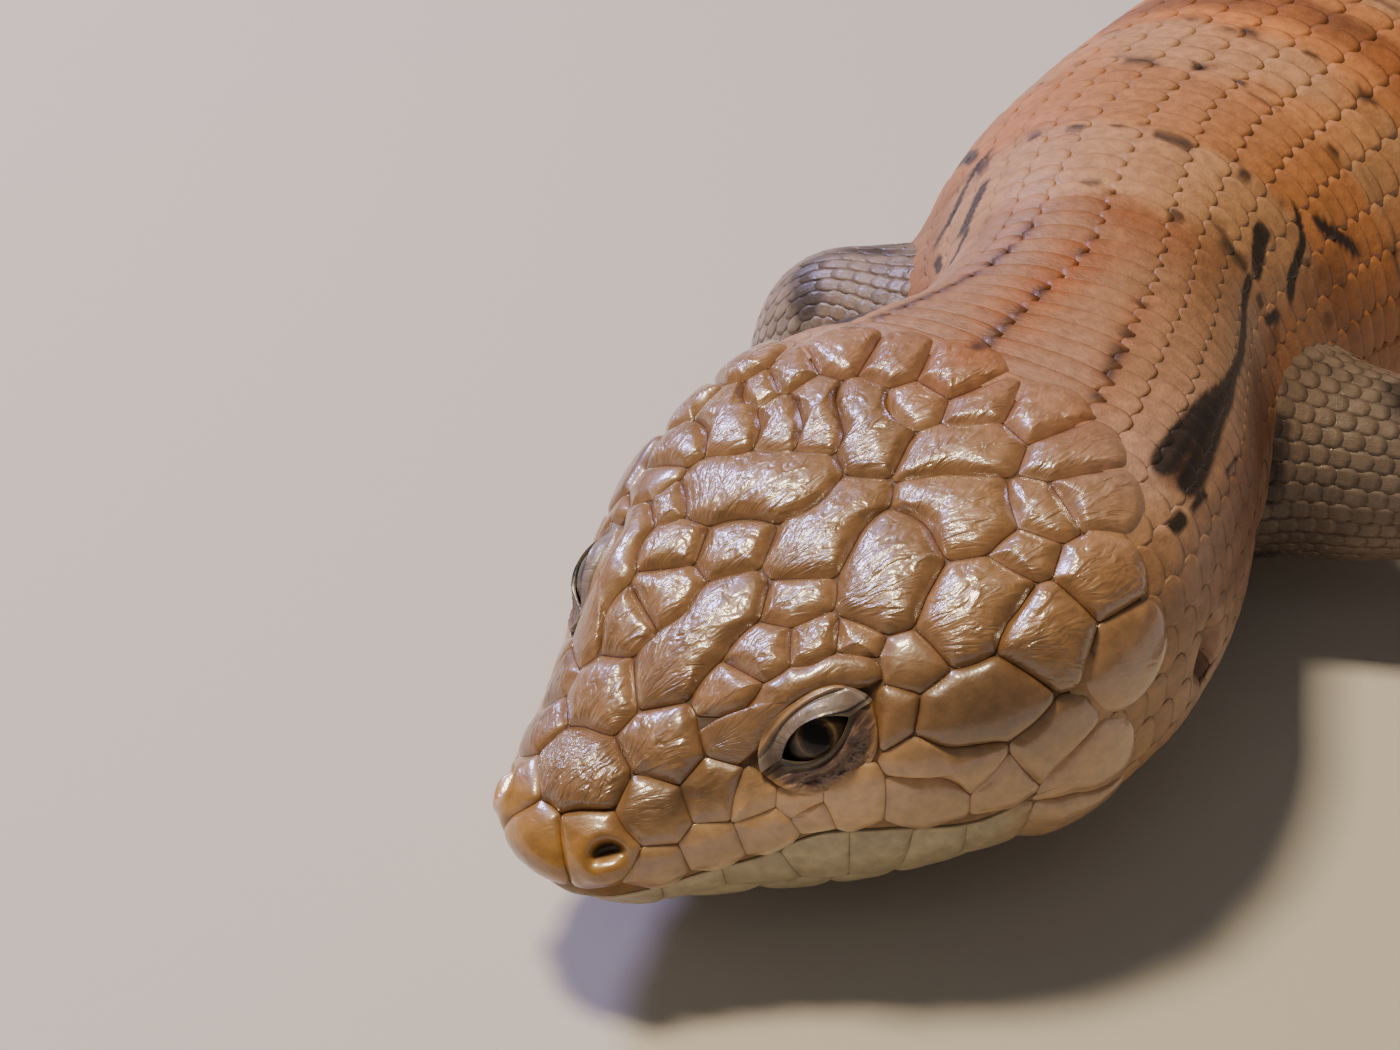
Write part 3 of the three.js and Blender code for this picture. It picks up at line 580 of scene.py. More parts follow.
def shield_table():
    """Every shield's name, ridge and kind; the room of an eye holds its place among them."""
    table = [(name, line, "top") for name, line in SHIELDS.items()]
    paired = {**PAIRED_SHIELDS, **SMALL_SHIELDS}
    for i, (s, above, grow) in enumerate(LABIALS):
        a = np.arctan2(mouth_line(s) + above, half_width(s)) / DEG
        paired[f"labial_{i + 1}"] = (s, a, s, a, grow)
    for i in range(LOWER_LABIALS["count"]):
        s = LOWER_LABIALS["start"] + i * LOWER_LABIALS["pitch"]
        a = np.arctan2(mouth_line(s) - LOWER_LABIALS["below"], half_width(s)) / DEG
        paired[f"lower_labial_{i + 1}"] = (s, a, s, a, LOWER_LABIALS["grow"])
    for name, (s1, a1, s2, a2, grow) in paired.items():
        kind = "jaw" if name.startswith(("lower", "chin", "mental")) else "top"
        table.append((name + "_left", (s1, a1, s2, a2, grow), kind))
        table.append((name + "_right", (s1, 180 - a1, s2, 180 - a2, grow), kind))
    table += [(name, line, "jaw") for name, line in CHIN_SHIELDS.items()]
    for side, m in (("left", 1), ("right", -1)):
        front, rear = mirrored(EYE["front_angle"] + 1, m), mirrored(EYE["rear_angle"] - 1, m)
        table.append(("eye_" + side, (EYE["front"] + 1.5, front, EYE["rear"] - 1.5, rear, 0.3), "room"))
    return table


SHIELD_TABLE = shield_table()
LINE_A, LINE_B = (np.array([form(line[k], line[k + 1] * DEG) for _, line, _ in SHIELD_TABLE]) for k in (0, 2))
GROW = np.array([line[4] for _, line, _ in SHIELD_TABLE])


def from_shields(points):
    """Distance of points from every shield's ridge, less what it outgrows."""
    line = LINE_B - LINE_A
    t = ((points[..., None, :] - LINE_A) * line).sum(-1) / np.maximum((line**2).sum(-1), 1e-9)
    near = LINE_A + np.clip(t, 0, 1)[..., None] * line
    return np.linalg.norm(points[..., None, :] - near, axis=-1) - GROW


class Plate:
    """One shield's place: its middle and how far it runs in every direction over the form."""

    def __init__(self, index):
        self.name, (s1, a1, s2, a2, _), self.kind = SHIELD_TABLE[index]
        self.plain = self.name.startswith(SMOOTH_SHIELDS)
        self.s, self.a = (s1 + s2) / 2, (a1 + a2) / 2 * DEG
        self.polar = self.s < 9
        self.wide = float(np.linalg.norm(form(self.s, self.a + 0.02) - form(self.s, self.a - 0.02)) / 0.04)
        self.turns = 2 * np.pi * np.arange(PLATE["turns"]) / PLATE["turns"]
        self.edge = self.find_edge(index)
        self.size = self.edge.mean()

    def find_edge(self, index):
        """How far the shield runs each way, until another one, the lips or its greatest width."""
        widest = PLATE["nose_widest" if self.name.startswith(("nasal", "rostral")) else "widest"]
        low, high = np.full(len(self.turns), 0.2), np.full(len(self.turns), PLATE["most"])
        for _ in range(13):
            t = (low + high) / 2
            s, a = self.at(t)
            away = from_shields(form(np.maximum(s, 0.02), a))
            own = away[:, index].copy()
            away[:, index] = 1e9
            free = (own < away.min(1)) & (own < widest) & (s < 56)
            lips = lip_height(s, a)
            if self.kind == "jaw":
                free &= (lips < -0.25) | (s > MOUTH_CORNER)
            elif not self.name.startswith("gape"):
                free &= lips > self.hem(s)
            low, high = np.where(free, t, low), np.where(free, high, t)
        edge = np.maximum(low, 0.3)
        around = np.concatenate([edge[-1:], edge, edge[:1]])
        return np.minimum(np.convolve(around, np.array([1, 2, 1]) / 4, "valid"), edge * 1.04)

    def hem(self, s):
        """How far above the line of the lips an upper shield ends; the upper labials have scalloped hems."""
        if not self.name.startswith("labial"):
            return 0.2
        return HEM["edge"] - HEM["dip"] * np.clip(1 - ((s - self.s) / HEM["half"]) ** 2, 0, 1)

    def at(self, t):
        """Places at distances from the middle, one for each turn, as s and angle."""
        dx, dy = t * np.cos(self.turns), t * np.sin(self.turns)
        if not self.polar:
            return self.s + dx, self.a + dy / self.wide
        run = CHART * np.arccos(1 - self.s / CHART) if self.s < CHART else CHART * (np.pi / 2 - 1) + self.s
        x, y = run * np.cos(self.a) + dx, run * np.sin(self.a) + dy
        far = np.hypot(x, y)
        flat = CHART * np.pi / 2
        s = np.where(far < flat, CHART * (1 - np.cos(np.minimum(far, flat) / CHART)), far - flat + CHART)
        return s, np.arctan2(y, x)

    def places(self, parts):
        """Places at parts of the way from the middle to the edge."""
        pairs = [self.at(self.edge * t) for t in parts]
        return np.array([p[0] for p in pairs]), np.array([p[1] for p in pairs])


# Markings, as functions of the place along and the angle round
LATTICE_SIZE = 97
LATTICE = np.random.default_rng(5).random((4, LATTICE_SIZE, LATTICE_SIZE))


def noise(x, y, layer=0):
    """Smooth noise from 0 to 1."""
    x, y = np.asarray(x, float), np.asarray(y, float)
    i, j = np.floor(x).astype(int), np.floor(y).astype(int)
    u, v = x - i, y - j
    u, v = u * u * (3 - 2 * u), v * v * (3 - 2 * v)
    grid = LATTICE[layer]
    i0, i1, j0, j1 = i % LATTICE_SIZE, (i + 1) % LATTICE_SIZE, j % LATTICE_SIZE, (j + 1) % LATTICE_SIZE
    return ((grid[i0, j0] * (1 - u) + grid[i1, j0] * u) * (1 - v)
            + (grid[i0, j1] * (1 - u) + grid[i1, j1] * u) * v)


def paint(*rgb):
    """A colour as light, from its usual 0 to 255 steps."""
    c = np.array(rgb, float) / 255
    return np.where(c <= 0.04045, c / 12.92, ((c + 0.055) / 1.055) ** 2.4)


OLIVE, TAN, SNOUT_GOLD = paint(132, 98, 63), paint(150, 108, 70), paint(156, 112, 48)
CHEEK, JAW, THROAT = paint(168, 132, 92), paint(168, 154, 122), paint(172, 158, 126)
NECK, NECK_SIDE, RUST, SEPIA = paint(142, 102, 72), paint(158, 122, 98), paint(138, 78, 34), paint(52, 32, 20)
# The fourth colour on the next line is painted shade for the lower side of the neck, in the flank's brown.
PALE, SOOT, AMBER, SHADED_FLANK = paint(166, 122, 86), paint(18, 14, 12), paint(180, 112, 56), paint(122, 72, 38)
# The second and third colours on the next line are painted shade, in the nostrils and in the groove between
# the lips.
PALE_LIP, NOSTRIL_SHADE, MOUTH_SHADE = paint(214, 192, 150), paint(40, 22, 14), paint(58, 34, 28)
# The last leg colour on the next line is painted shade near the trunk.
LEG_GREY, LEG_BROWN, LEG_PAINTED_SHADE = paint(166, 154, 150), paint(110, 93, 80), paint(72, 58, 56)
BELLY, HORN, HORN_TIP = paint(190, 172, 138), paint(70, 58, 44), paint(24, 19, 16)
# Columns of scales: width of the nape's middle pair and its turn off the middle, as shares of the way round
BODY_COLUMNS = 34
NAPE_FLAT = 1 / BODY_COLUMNS
nape_share = smooth([(44, 0.094), (52, 0.088), (58, 0.078), (65, 0.066), (72, 0.054), (85, 0.043),
                     (100, NAPE_FLAT)])
nape_turn = smooth([(46, 0.018), (57, 0.022), (63, 0.018), (68, 0.006), (72, 0)])
# Dark dotted lines where columns of the nape meet: which border, how far back, how rusty beside and how wide
NECK_LINES = ((-1, 66, 0.35, 1.6), (0, 71, 0.95, 3.4), (1, 73, 0.4, 1.6))
BAND_AT, BAND_PITCH = 85.0, 27.5
# The black line in the fold low on each side of the neck, as degrees from the middle of the back, and the
# black blots about it: distance along, degrees, slope, half length and half width
FOLD = smooth([(48, 45), (52, 43.6), (58, 42.4), (63, 44), (69, 45.2), (74, 43.8), (79, 39.5), (84, 38)])
FOLD_BLOTS = (
    (84, 37, -0.4, 3.2, 3.0), (89, 46, -1.6, 4.5, 2.2), (97, 50, 1.2, 3, 3), (48.2, 53.4, 0, 0.9, 1.4),
    (51, 53.6, 0, 1.2, 0.8), (81, 50, 0.6, 1.6, 1.8), (56.5, 55, 0.3, 1.6, 0.6),
)
FOLD_OPEN = dict(end=66, run=14, degrees=6.0)


def mix(a, b, t):
    """A blend of two colours, the second by a share t."""
    return a * (1 - t[..., None]) + b * t[..., None]


def back_degrees(angle):
    """Degrees from the middle of the back: below 0 on the animal's left, 180 on the belly."""
    return np.mod(angle / DEG - 90 + 180, 360) - 180


def head_colours(s, angle, side, wander, broad):
    """Olive shields, golden snout, tan cheeks, dark temples and pale jaw, with painted shade before the eye
    and a paler patch below it that is partly its own tone and partly painted light.
    """
    head = mix(OLIVE, CHEEK, step(58, 78, side + 14 * broad + 6 * wander))
    head = mix(head, SNOUT_GOLD, step(6.4, 2.2, s + 2.0 * wander) * step(30, 74, side))
    head = mix(head, SNOUT_GOLD, 0.75 * step(4.2, 1.4, s))
    # Painted shade in the hollow before the eye; paler below the eye, partly its own tone and partly painted
    # light; dark temples.
    loreal = np.exp(-((s - 10) / 4.5) ** 2 - ((side - 62) / 9) ** 2)
    below_eye = np.exp(-((s - 19) / 6) ** 2 - ((side - 77) / 8) ** 2)
    temple = np.exp(-((s - 30) / 5.5) ** 2 - ((side - 66) / 9) ** 2)
    head = head * (1 - 0.45 * loreal + 0.5 * below_eye - 0.42 * temple)[..., None]
    jaw = step(0.3, -0.5, lip_height(s, angle)) * step(MOUTH_CORNER, MOUTH_CORNER - 7, s)
    head = mix(mix(head, JAW, jaw), THROAT, step(112, 140, side))
    return mix(head, TAN, 0.55 * step(34, 46, s) * step(30, 60, side))


def neck_colours(s, angle, off, side, wander, broad):
    """Tan with rusty stripes that carry dark dots, and a rusty patch at their end."""
    neck = mix(NECK, NECK_SIDE, step(26, 48, side))
    streaks = noise(off / 2.3, s / 11 + 30, 1) - 0.5
    neck = neck * (1 + 0.5 * streaks * step(34, 48, side) * step(72, 62, s))[..., None]
    rust, dots = np.zeros(s.shape), np.zeros(s.shape)
    around = np.interp(s, ROWS_AT, ROUND)
    place = share_at(s, angle) - 0.5
    place = place - nape_turn(s) * (1 - 2 * np.abs(place))
    for border, end, strength, wide in NECK_LINES:
        away = (place - border * nape_share(s)) * around
        here = step(end + 3, end - 1, s)
        rust = np.maximum(rust, strength * here * bump(away, 0, wide))
        dotted = step(0.3, 0.5, noise(s / 1.1, np.full(s.shape, 7.0 + 9 * border), 2))
        dots = np.maximum(dots, here * dotted * bump(away, 0, 0.75))
    rust = np.maximum(rust, 0.45 * np.exp(-(place * around / 1.2) ** 2) * step(74, 78, s))
    neck = mix(neck, RUST, rust * step(42, 54, s) * (0.6 + np.clip(broad + 0.2, 0, 0.5)))
    neck = mix(neck, SEPIA, 0.85 * dots * step(46, 51, s))
    patch = np.exp(-((s - 76 - 3 * wander) / 4.2) ** 2 - ((off + 6) / 19) ** 2)
    return mix(neck, RUST * 0.8, 0.85 * patch)


def trunk_colours(s, off, phase, wander, broad):
    """Pale bands speckled at their edges, between amber and brown ones."""
    amber = mix(AMBER, NECK, np.clip(0.45 + broad, 0, 1))
    brown = mix(RUST, SEPIA, np.clip(0.35 + 0.9 * wander, 0, 0.8))
    pale = mix(PALE, AMBER, 0.5 * step(0.35, 0.75, noise(s / 6, off / 15)) * step(96, 106, s))
    trunk = mix(pale, amber, step(0.19, 0.27, phase))
    trunk = mix(trunk, brown, 0.85 * step(0.32, 0.42, phase) * step(112, 130, s))
    specks = step(0.60, 0.74, noise(s / 1.7, off / 5, 2)) * bump(phase, 0.2, 0.05)
    return mix(trunk, SOOT, 0.85 * specks)


def fold_colours(colour, s, side, wander):
    """Adds painted shade low on the side of the neck, in the flank's brown, and the black line and wedge and
    the black blots there.
    """
    # Painted shade low on the side of the neck, where it turns under.
    painted_shade = step(48, 56, side) * step(84, 72, side) * step(48, 58, s) * step(100, 92, s)
    colour = mix(colour, SHADED_FLANK, 0.6 * painted_shade)
    across = side - FOLD(s) - 1.2 * wander
    open_by = np.clip((FOLD_OPEN["end"] - s) / FOLD_OPEN["run"], 0, 1) * FOLD_OPEN["degrees"]
    wedge = np.clip(across / np.maximum(open_by, 0.01), 0, 1)
    from_edge = np.minimum(np.abs(across), np.abs(across - open_by))
    edges = np.exp(-(from_edge / (1.9 + 0.2 * open_by)) ** 2)
    inside = step(0, 0.2, wedge) * step(1, 0.8, wedge) * (open_by > 0.5)
    run = step(49, 51.5, s + 2 * wander) * step(82, 79, s)
    colour = mix(colour, RUST * 0.3, 0.9 * inside * run)
    blots = np.zeros(s.shape)
    for s0, side0, slope, long, wide in FOLD_BLOTS:
        away = side - side0 - slope * (s - s0) + 5 * wander
        blots = np.maximum(blots, np.exp(-((s - s0) / long) ** 4 - (away / wide) ** 4))
    return mix(colour, SOOT, 0.94 * step(0.25, 0.6, np.maximum(edges * run, blots)))


def markings(s, angle):
    """The animal's colours from snout to tail tip."""
    s, angle = np.broadcast_arrays(np.asarray(s, float), np.asarray(angle, float))
    off = back_degrees(angle)
    side = np.abs(off)
    wander = noise(s / 4.5, off / 14 + 40) - 0.5
    broad = noise(s / 17, off / 40 + 20, 1) - 0.5
    neck = neck_colours(s, angle, off, side, wander, broad)
    colour = mix(head_colours(s, angle, side, wander, broad), neck, step(40, 50, s + 3 * wander))
    along = (s - BAND_AT) / BAND_PITCH + 0.10 * broad + 0.05 * wander
    phase = np.abs(np.mod(along + 0.5, 1) - 0.5)
    colour = mix(colour, trunk_colours(s, off, phase, wander, broad), step(76.5, 79.5, s + 2.5 * wander))
    colour = fold_colours(colour, s, side, wander)
    flank = step(0.5, 0.62, noise(s / 6.5, off / 11 + 9, 3)) * step(0.24, 0.34, phase) * step(100, 112, s)
    colour = mix(colour, SOOT, 0.85 * flank * step(44, 66, side) * step(112, 96, side))
    belly = mix(BELLY, LEG_GREY, 0.35 * step(0.5, 0.7, noise(s / 5, off / 9)))
    return mix(colour, belly, step(100, 128, side + 10 * wander) * step(34, 52, s))


def salted(colour, salt, amount):
    """Colours with their own shade for every scale."""
    return np.clip(colour * (1 + amount * (salt[..., None] - 0.5)), 0, 1)


# The skin under everything; the groove between the lips is listed by depth and height
GROOVE = [(0.35, 0.04), (1.6, 0.03), (1.6, -0.03), (0.35, -0.05)]
UPPER_LIP, LOWER_LIP = 0.16, -0.18
UPPER_COLUMNS, LOWER_COLUMNS = 112, 96


def lip_angle(s, height):
    """The angle on the animal's left where the form stands at a height over the line of the lips."""
    low, high = np.full(s.shape, -np.pi / 2), np.full(s.shape, np.pi / 3)
    for _ in range(26):
        middle = (low + high) / 2
        over = reach(s, middle) * np.sin(middle) - mouth_line(s) > height
        low, high = np.where(over, low, middle), np.where(over, middle, high)
    return (low + high) / 2


def skin_rows():
    """Distances of the skin's rows: close together on the head, further apart behind it."""
    nose = SNOUT_ROUND * (1 - np.cos(np.linspace(0.04, np.pi / 2, 24)))
    head = np.arange(SNOUT_ROUND + 0.5, 60, 0.5)
    trunk = np.arange(61, TAIL_TIP - 4, 1.5)
    tip = TAIL_TIP - TAIL_ROUND * (1 - np.cos(np.linspace(np.pi / 2, 0.05, 10)))
    return np.concatenate([nose, head, trunk, tip])


def skin_columns(s):
    """Angles and depths across the skin: over the top, into the right groove, under the base and back."""
    upper, lower = lip_angle(s, UPPER_LIP), lip_angle(s, LOWER_LIP)
    top = upper[:, None] + (np.pi - 2 * upper)[:, None] * np.linspace(0, 1, UPPER_COLUMNS)
    base = (np.pi - lower)[:, None] + (np.pi + 2 * lower)[:, None] * np.linspace(0, 1, LOWER_COLUMNS)
    groove = [(lip_angle(s, height)[:, None], depth) for depth, height in GROOVE]
    parts = [(top, 0.0)]
    parts += [(np.pi - a, depth) for a, depth in groove]
    parts += [(base, 0.0)]
    parts += [(a + 2 * np.pi, depth) for a, depth in reversed(groove)]
    return (np.concatenate([a for a, _ in parts], 1),
            np.concatenate([np.full(a.shape, depth) for a, depth in parts], 1))


def make_skin(coat):
    """Adds the skin of head, trunk and tail, with painted shade in the groove between the lips."""
    s = skin_rows()
    angles, depths = skin_columns(s)
    corner = step(MOUTH_CORNER + 1.5, MOUTH_CORNER - 0.5, s)
    places = np.broadcast_to(s[:, None], angles.shape)
    under_shields = step(50, 47, places)
    points = hide(places, angles, -0.06 - 0.12 * under_shields - depths * corner[:, None])
    face = step(48, 60, np.abs(back_degrees(angles))) * step(46, 40, places)
    seams = np.where((places < 49) & (lip_height(places, angles) > -1), 0.3 + 0.25 * face, 0.5)
    colour = markings(places, angles) * seams[..., None]
    # Painted shade deep in the groove between the lips.
    colour = np.where((depths > 0.1)[..., None] & (corner > 0.1)[:, None, None], MOUTH_SHADE, colour)
    ends = np.stack([points[0].mean(0), points[-1].mean(0)])
    detail = np.stack([places, angles * 20, 0 * places], -1)
    coat.add(with_ends(points, ends), tube_faces(*angles.shape), with_ends(colour), with_ends(detail),
             with_ends(body_uv(places, angles)))


LEG_STRIP = {name: i for i, name in enumerate(LEGS)}


def leg_uv(name, part, turn):
    """Bake places of limbs, each in a strip of its own below the trunk's."""
    u = 0.01 + 0.245 * (LEG_STRIP[name] + np.clip(part, 0, 0.98))
    return np.stack([u, 0.01 + 0.31 * np.mod(turn / (2 * np.pi), 1)], -1)


def leg_colour(d, turn):
    """Brown and tan clouds with dark blotches, by distance along a limb and turn round it; paler grey about
    the elbow is painted light and darker blotches near the trunk are painted shade.
    """
    cloud = noise(d / 3.1, turn * 2.2 + 11, 1)
    # Painted light: paler grey about the elbow.
    colour = mix(LEG_BROWN, LEG_GREY, bump(d, 34, 8))
    colour = mix(colour, TAN, 0.25 * np.clip(noise(d / 9, turn + 3) * 1.4 - 0.3, 0, 1))
    # Painted shade: darker blotches on the leg near the trunk.
    painted_shade = step(22, 14, d) * step(0.35, 0.65, noise(d / 8, turn * 1.3 + 20, 2))
    return mix(mix(colour, LEG_PAINTED_SHADE, 0.5 * painted_shade), SOOT, 0.75 * step(0.68, 0.8, cloud))


def round_grid(long, rows, sides):
    """Distances along and turns round of a tube's grid."""
    d = np.linspace(0, long, rows)[:, None] * np.ones(sides)
    return d, np.broadcast_to(2 * np.pi * np.arange(sides) / sides, d.shape)


def add_tube(coat, tube, name, span, rows, columns, swell=None):
    """A limb's own skin with both ends closed."""
    d, turn = round_grid(tube.long, rows, columns)
    points = tube(d, turn, swell(d, turn) if swell else 0.0)
    ends = np.stack([tube.centre[0], tube.centre[-1] + tube.along[-1] * tube.radius[-1] * 0.4])
    uv = leg_uv(name, span[0] + (span[1] - span[0]) * d / tube.long, turn)
    detail = np.stack([d, turn * 6, 0 * d], -1)
    coat.add(with_ends(points, ends), tube_faces(rows, columns), with_ends(leg_colour(d, turn) * 0.8),
             with_ends(detail), with_ends(uv))


# Scales that overlap like shingles: where a scale starts and ends, in pitches, and how far it overlaps
SCALE = dict(root=-0.78, rear=0.5, round=0.34, over=1.14, wall=-0.06)


def scale_grid(across, along):
    """Places over one scale, from side to side and root to rear, and which of them are in its walls."""
    b = np.linspace(-1, 1, across)
    b = np.sign(b) * np.abs(b) ** 0.85
    v = np.linspace(0, 1, along) ** 0.9
    b = np.concatenate([b[:1], b, b[-1:]])
    v = np.concatenate([v, v[-1:]])
    bb, vv = np.meshgrid(b, v, indexing="ij")
    walls = np.zeros(bb.shape, bool)
    walls[[0, -1]] = True
    walls[:, -1] = True
    return bb, vv, walls


def shingles(coat, surface, paint_at, uv_at, s, share, pitch, width, fine, lift=0.36):
    """Adds scales; each place has a distance s and a share of the way round, a pitch and a width in share."""
    n = len(s)
    salt = SALT.random((n, 3))
    first, second, third = (salt[:, k][:, None, None] for k in range(3))
    bb, vv, walls = scale_grid(*fine)
    rear = SCALE["rear"] - SCALE["round"] * np.abs(bb) ** 2.6
    place = SCALE["root"] + (rear - SCALE["root"]) * vv
    taper = 1.0 - 0.22 * (1 - vv) ** 2
    ss = s[:, None, None] + pitch[:, None, None] * place[None] * (1 + 0.05 * (first - 0.5))
    cc = share[:, None, None] + 0.5 * width[:, None, None] * SCALE["over"] * (bb * taper)[None]
    crown = (0.05 + 0.95 * vv**0.8) * (1 - 0.4 * np.abs(bb) ** 4)
    crown *= 1 - 0.5 * np.clip((vv - 0.72) / 0.28, 0, 1) ** 2
    lift = np.broadcast_to(lift, n)[:, None, None]
    height = lift * crown[None] * (0.85 + 0.3 * second)
    height = height + 0.05 * lift * (third - 0.5) * bb[None]
    points = surface(ss, cc, np.where(walls[None], SCALE["wall"], height))
    colour = paint_at(ss, cc, first * np.ones(bb.shape))
    # Painted shade: darker at a scale's sides and root, where it runs under its neighbours, and darker still
    # on its walls beneath them.
    edge = np.clip(np.abs(bb) ** 7 + (1 - vv) ** 3 * 0.6, 0, 1)[None, ..., None]
    colour = colour * (1 - 0.2 * edge) * np.where(walls, 0.65, 1.0)[None, ..., None]
    uv = uv_at(s, share)[:, None, None, :] + (np.stack([vv - 0.5, bb / 2], -1) * PATCH)[None]
    detail = np.stack(np.broadcast_arrays(bb * 1.6, vv * 2.4, 40 * first), -1)
    faces = (np.arange(n)[:, None, None] * bb.size + grid_faces(*bb.shape)[None]).reshape(-1, 4)
    coat.add(points, [faces], colour.reshape(-1, 3), detail, uv)


def body_surface(s, share, height):
    """Places on the body, by distance and share of the way round, at a height over it."""
    s = np.clip(s, 0.3, TAIL_TIP - 0.15)
    return hide(s, column_angle(s, share), height)


def body_paint(s, share, salt):
    """Colours of the body's scales, each in its own shade."""
    s = np.clip(s, 0.3, TAIL_TIP - 0.15)
    return salted(markings(s, column_angle(s, share)), salt, 0.16)


def body_places_uv(s, share):
    """Bake places of the body's scales."""
    return body_uv(s, column_angle(s, share))


row_pitch = smooth([(20, 2.6), (44, 2.0), (60, 2.0), (72, 2.2), (90, 2.8), (110, 3.4), (150, 4.0), (200, 4.3),
                    (300, 4.2), (340, 4.0), (430, 3.4), (TAIL_TIP, 2.4)])
# How many columns there are from each distance on
COLUMNS = [(0, BODY_COLUMNS), (318, 28), (345, 24), (375, 20), (410, 16), (450, 12), (485, 10), (510, 8)]
FRONT_ROW = 20.0


def column_borders(s, columns):
    """Where columns of scales meet, as shares of the way round from the belly's midline."""
    first = max(float(nape_share(s)), 1 / columns) if columns == BODY_COLUMNS else 1 / columns
    side = np.concatenate([[0], np.linspace(first, 0.5, columns // 2)])
    borders = np.concatenate([0.5 - side[::-1], 0.5 + side[1:]])
    return borders + float(nape_turn(s)) * (1 - 2 * np.abs(borders - 0.5))


def body_scale_places():
    """Distance, share, pitch and width of scales; every second column's stand half a pitch further on."""
    s, k, rows = FRONT_ROW, 0, []
    while s < TAIL_TIP - 1.2:
        columns = [n for at, n in COLUMNS if s >= at][-1]
        borders = column_borders(s, columns)
        pick = np.arange(k % 2, columns, 2)
        pitch = float(row_pitch(s))
        rows.append((np.full(len(pick), s), (borders[pick] + borders[pick + 1]) / 2,
                     np.full(len(pick), pitch), borders[pick + 1] - borders[pick]))
        s += pitch / 2
        k += 1
    return [np.concatenate(column) for column in zip(*rows)]


# How far scales of the body stay from shields, ears and the floor, and how far they may reach into a leg
CLEAR = dict(shields=3.2, ears=2.5, floor=0.35, into_leg=1.2)


def free_places(s, angle, side):
    """Which scales of the body stand clear of shields, legs, ears and the flats underneath."""
    points = form(s, angle)
    keep = np.ones(len(s), bool)
    near = s < 62
    keep[near] = from_shields(points[near]).min(-1) > CLEAR["shields"]
    throat = (side > 118) & (lip_height(s, angle) < -4)
    keep &= ((s > 36) & (side > 60)) | ((s > 41) & (side > 36)) | (s > 48) | throat
    for tube in TUBES.values():
        here = np.abs(s - SPINE_S[np.linalg.norm(SPINE - tube.centre[0], axis=-1).argmin()]) < 45
        inside = np.zeros(len(s), bool)
        inside[here] = tube.away(points[here]) < -CLEAR["into_leg"]
        keep &= ~inside
    for ear in EARS:
        keep &= np.linalg.norm(points - ear, axis=-1) > CLEAR["ears"]
    return keep & ((s < 60) | (points[:, 2] > CLEAR["floor"]))


def dress_body(coats):
    """Lays the body's scales, each coat between two distances; those beside the neck lie flatter."""
    s, share, pitch, width = body_scale_places()
    angle = column_angle(s, share)
    side = np.abs(back_degrees(angle))
    keep = free_places(s, angle, side)
    for coat, low, high, fine in coats:
        pick = keep & (s >= low) & (s < high)
        flatter = 0.62 * step(26, 44, side[pick]) * step(96, 80, s[pick])
        shingles(coat, body_surface, body_paint, body_places_uv, s[pick], share[pick], pitch[pick],
                 width[pick], fine, 0.36 * (1 - flatter))


def dress_tube(coat, tube, name, pitch, columns, span, ends, lift, fine=(5, 5), swell=None, keep_out=None):
    """Rows of scales along a limb, between two distances, that point to its end."""
    def surface(d, share, height):
        d = np.clip(d, 0, tube.long)
        turn = share * 2 * np.pi
        return tube(d, turn, height + (swell(d, turn) if swell else 0.0))

    def colour(d, share, salt):
        return salted(leg_colour(d, share * 2 * np.pi), salt, 0.2)

    def uv(d, share):
        part = span[0] + (span[1] - span[0]) * np.clip(d, 0, tube.long) / tube.long
        return leg_uv(name, part, share * 2 * np.pi)

    (d, end), rows, k = ends, [], 0
    while d < end:
        share = (np.arange(k % 2, columns, 2) + 0.5) / columns
        half = len(share)
        rows.append((np.full(half, d), share, np.full(half, pitch), np.full(half, 1 / columns)))
        d += pitch / 2
        k += 1
    d, share, p, w = (np.concatenate(column) for column in zip(*rows))
    points = tube(d, share * 2 * np.pi)
    keep = points[:, 2] > 0.3
    if keep_out is not None:
        keep &= keep_out(points) > -0.9
    shingles(coat, surface, colour, uv, d[keep], share[keep], p[keep], w[keep], fine, lift)


# Head shields: how far the rings of a shield stand on the way to its edge, more of them about the nostrils
RINGS = np.array([0, 0.2, 0.38, 0.54, 0.67, 0.77, 0.85, 0.91, 0.95, 0.975, 0.99, 1.0])
NASAL_RINGS = np.concatenate([np.linspace(0, 0.9, 22), [0.94, 0.97, 0.99, 1.0]])
SEAM_SHADE = np.array((0.38, 0.5, 0.55))
# How high the shoulders of a kind of shield stand and how dark its seams are, against those of the crown
SHOULDER_SHARE = dict(brow=0.9, labial=0.45, subocular=0.4, preocular=0.35, lower=0.2, chin=0.3, mental=0.3,
                      postmental=0.3, rostral=0.4, nasal=0.5, loreal=0.7, gape=0.4, cheek=0.7)
SEAM_SHARE = dict(labial=0.2, subocular=0.2, preocular=0.2, lower=0.15, chin=0.3, mental=0.3, postmental=0.3,
                  rostral=0.3, nasal=0.4, loreal=0.6, gape=0.2, cheek=0.5, brow=0.6)
SHIELD_SALT = 0.22
CROWN_END = 27


def share_of(shares, name):
    """What a kind of shield has of a measure, by the first word of its name."""
    return shares.get(name.split("_")[0], 1.0)


def shield_heights(plate, part, inward, salt):
    """Heights of a shield's rings and of its middle over the form."""
    shoulder = PLATE["shoulder"] * np.clip(plate.size / 3, 0.55, 1.2) * share_of(SHOULDER_SHARE, plate.name)
    dome = PLATE["dome"] * plate.size / 4 * (0.6 if plate.plain else 1.0)
    rounded = 1 - np.clip(1 - inward / min(PLATE["run"], 0.7 * plate.size), 0, 1) ** 2.5
    tilt = 0.10 * np.cos(plate.turns - 0.6 * (salt[1] - 0.5)) * part
    lift = 0.1 * (salt[2] - 0.5)
    height = PLATE["rim"] + shoulder * rounded + dome * (1 - part**2)
    height = height + (tilt + lift) * np.clip(inward / 0.3, 0, 1)
    return np.where(part > 0.999, PLATE["rim"] - 0.14, height), PLATE["rim"] + shoulder + dome + lift


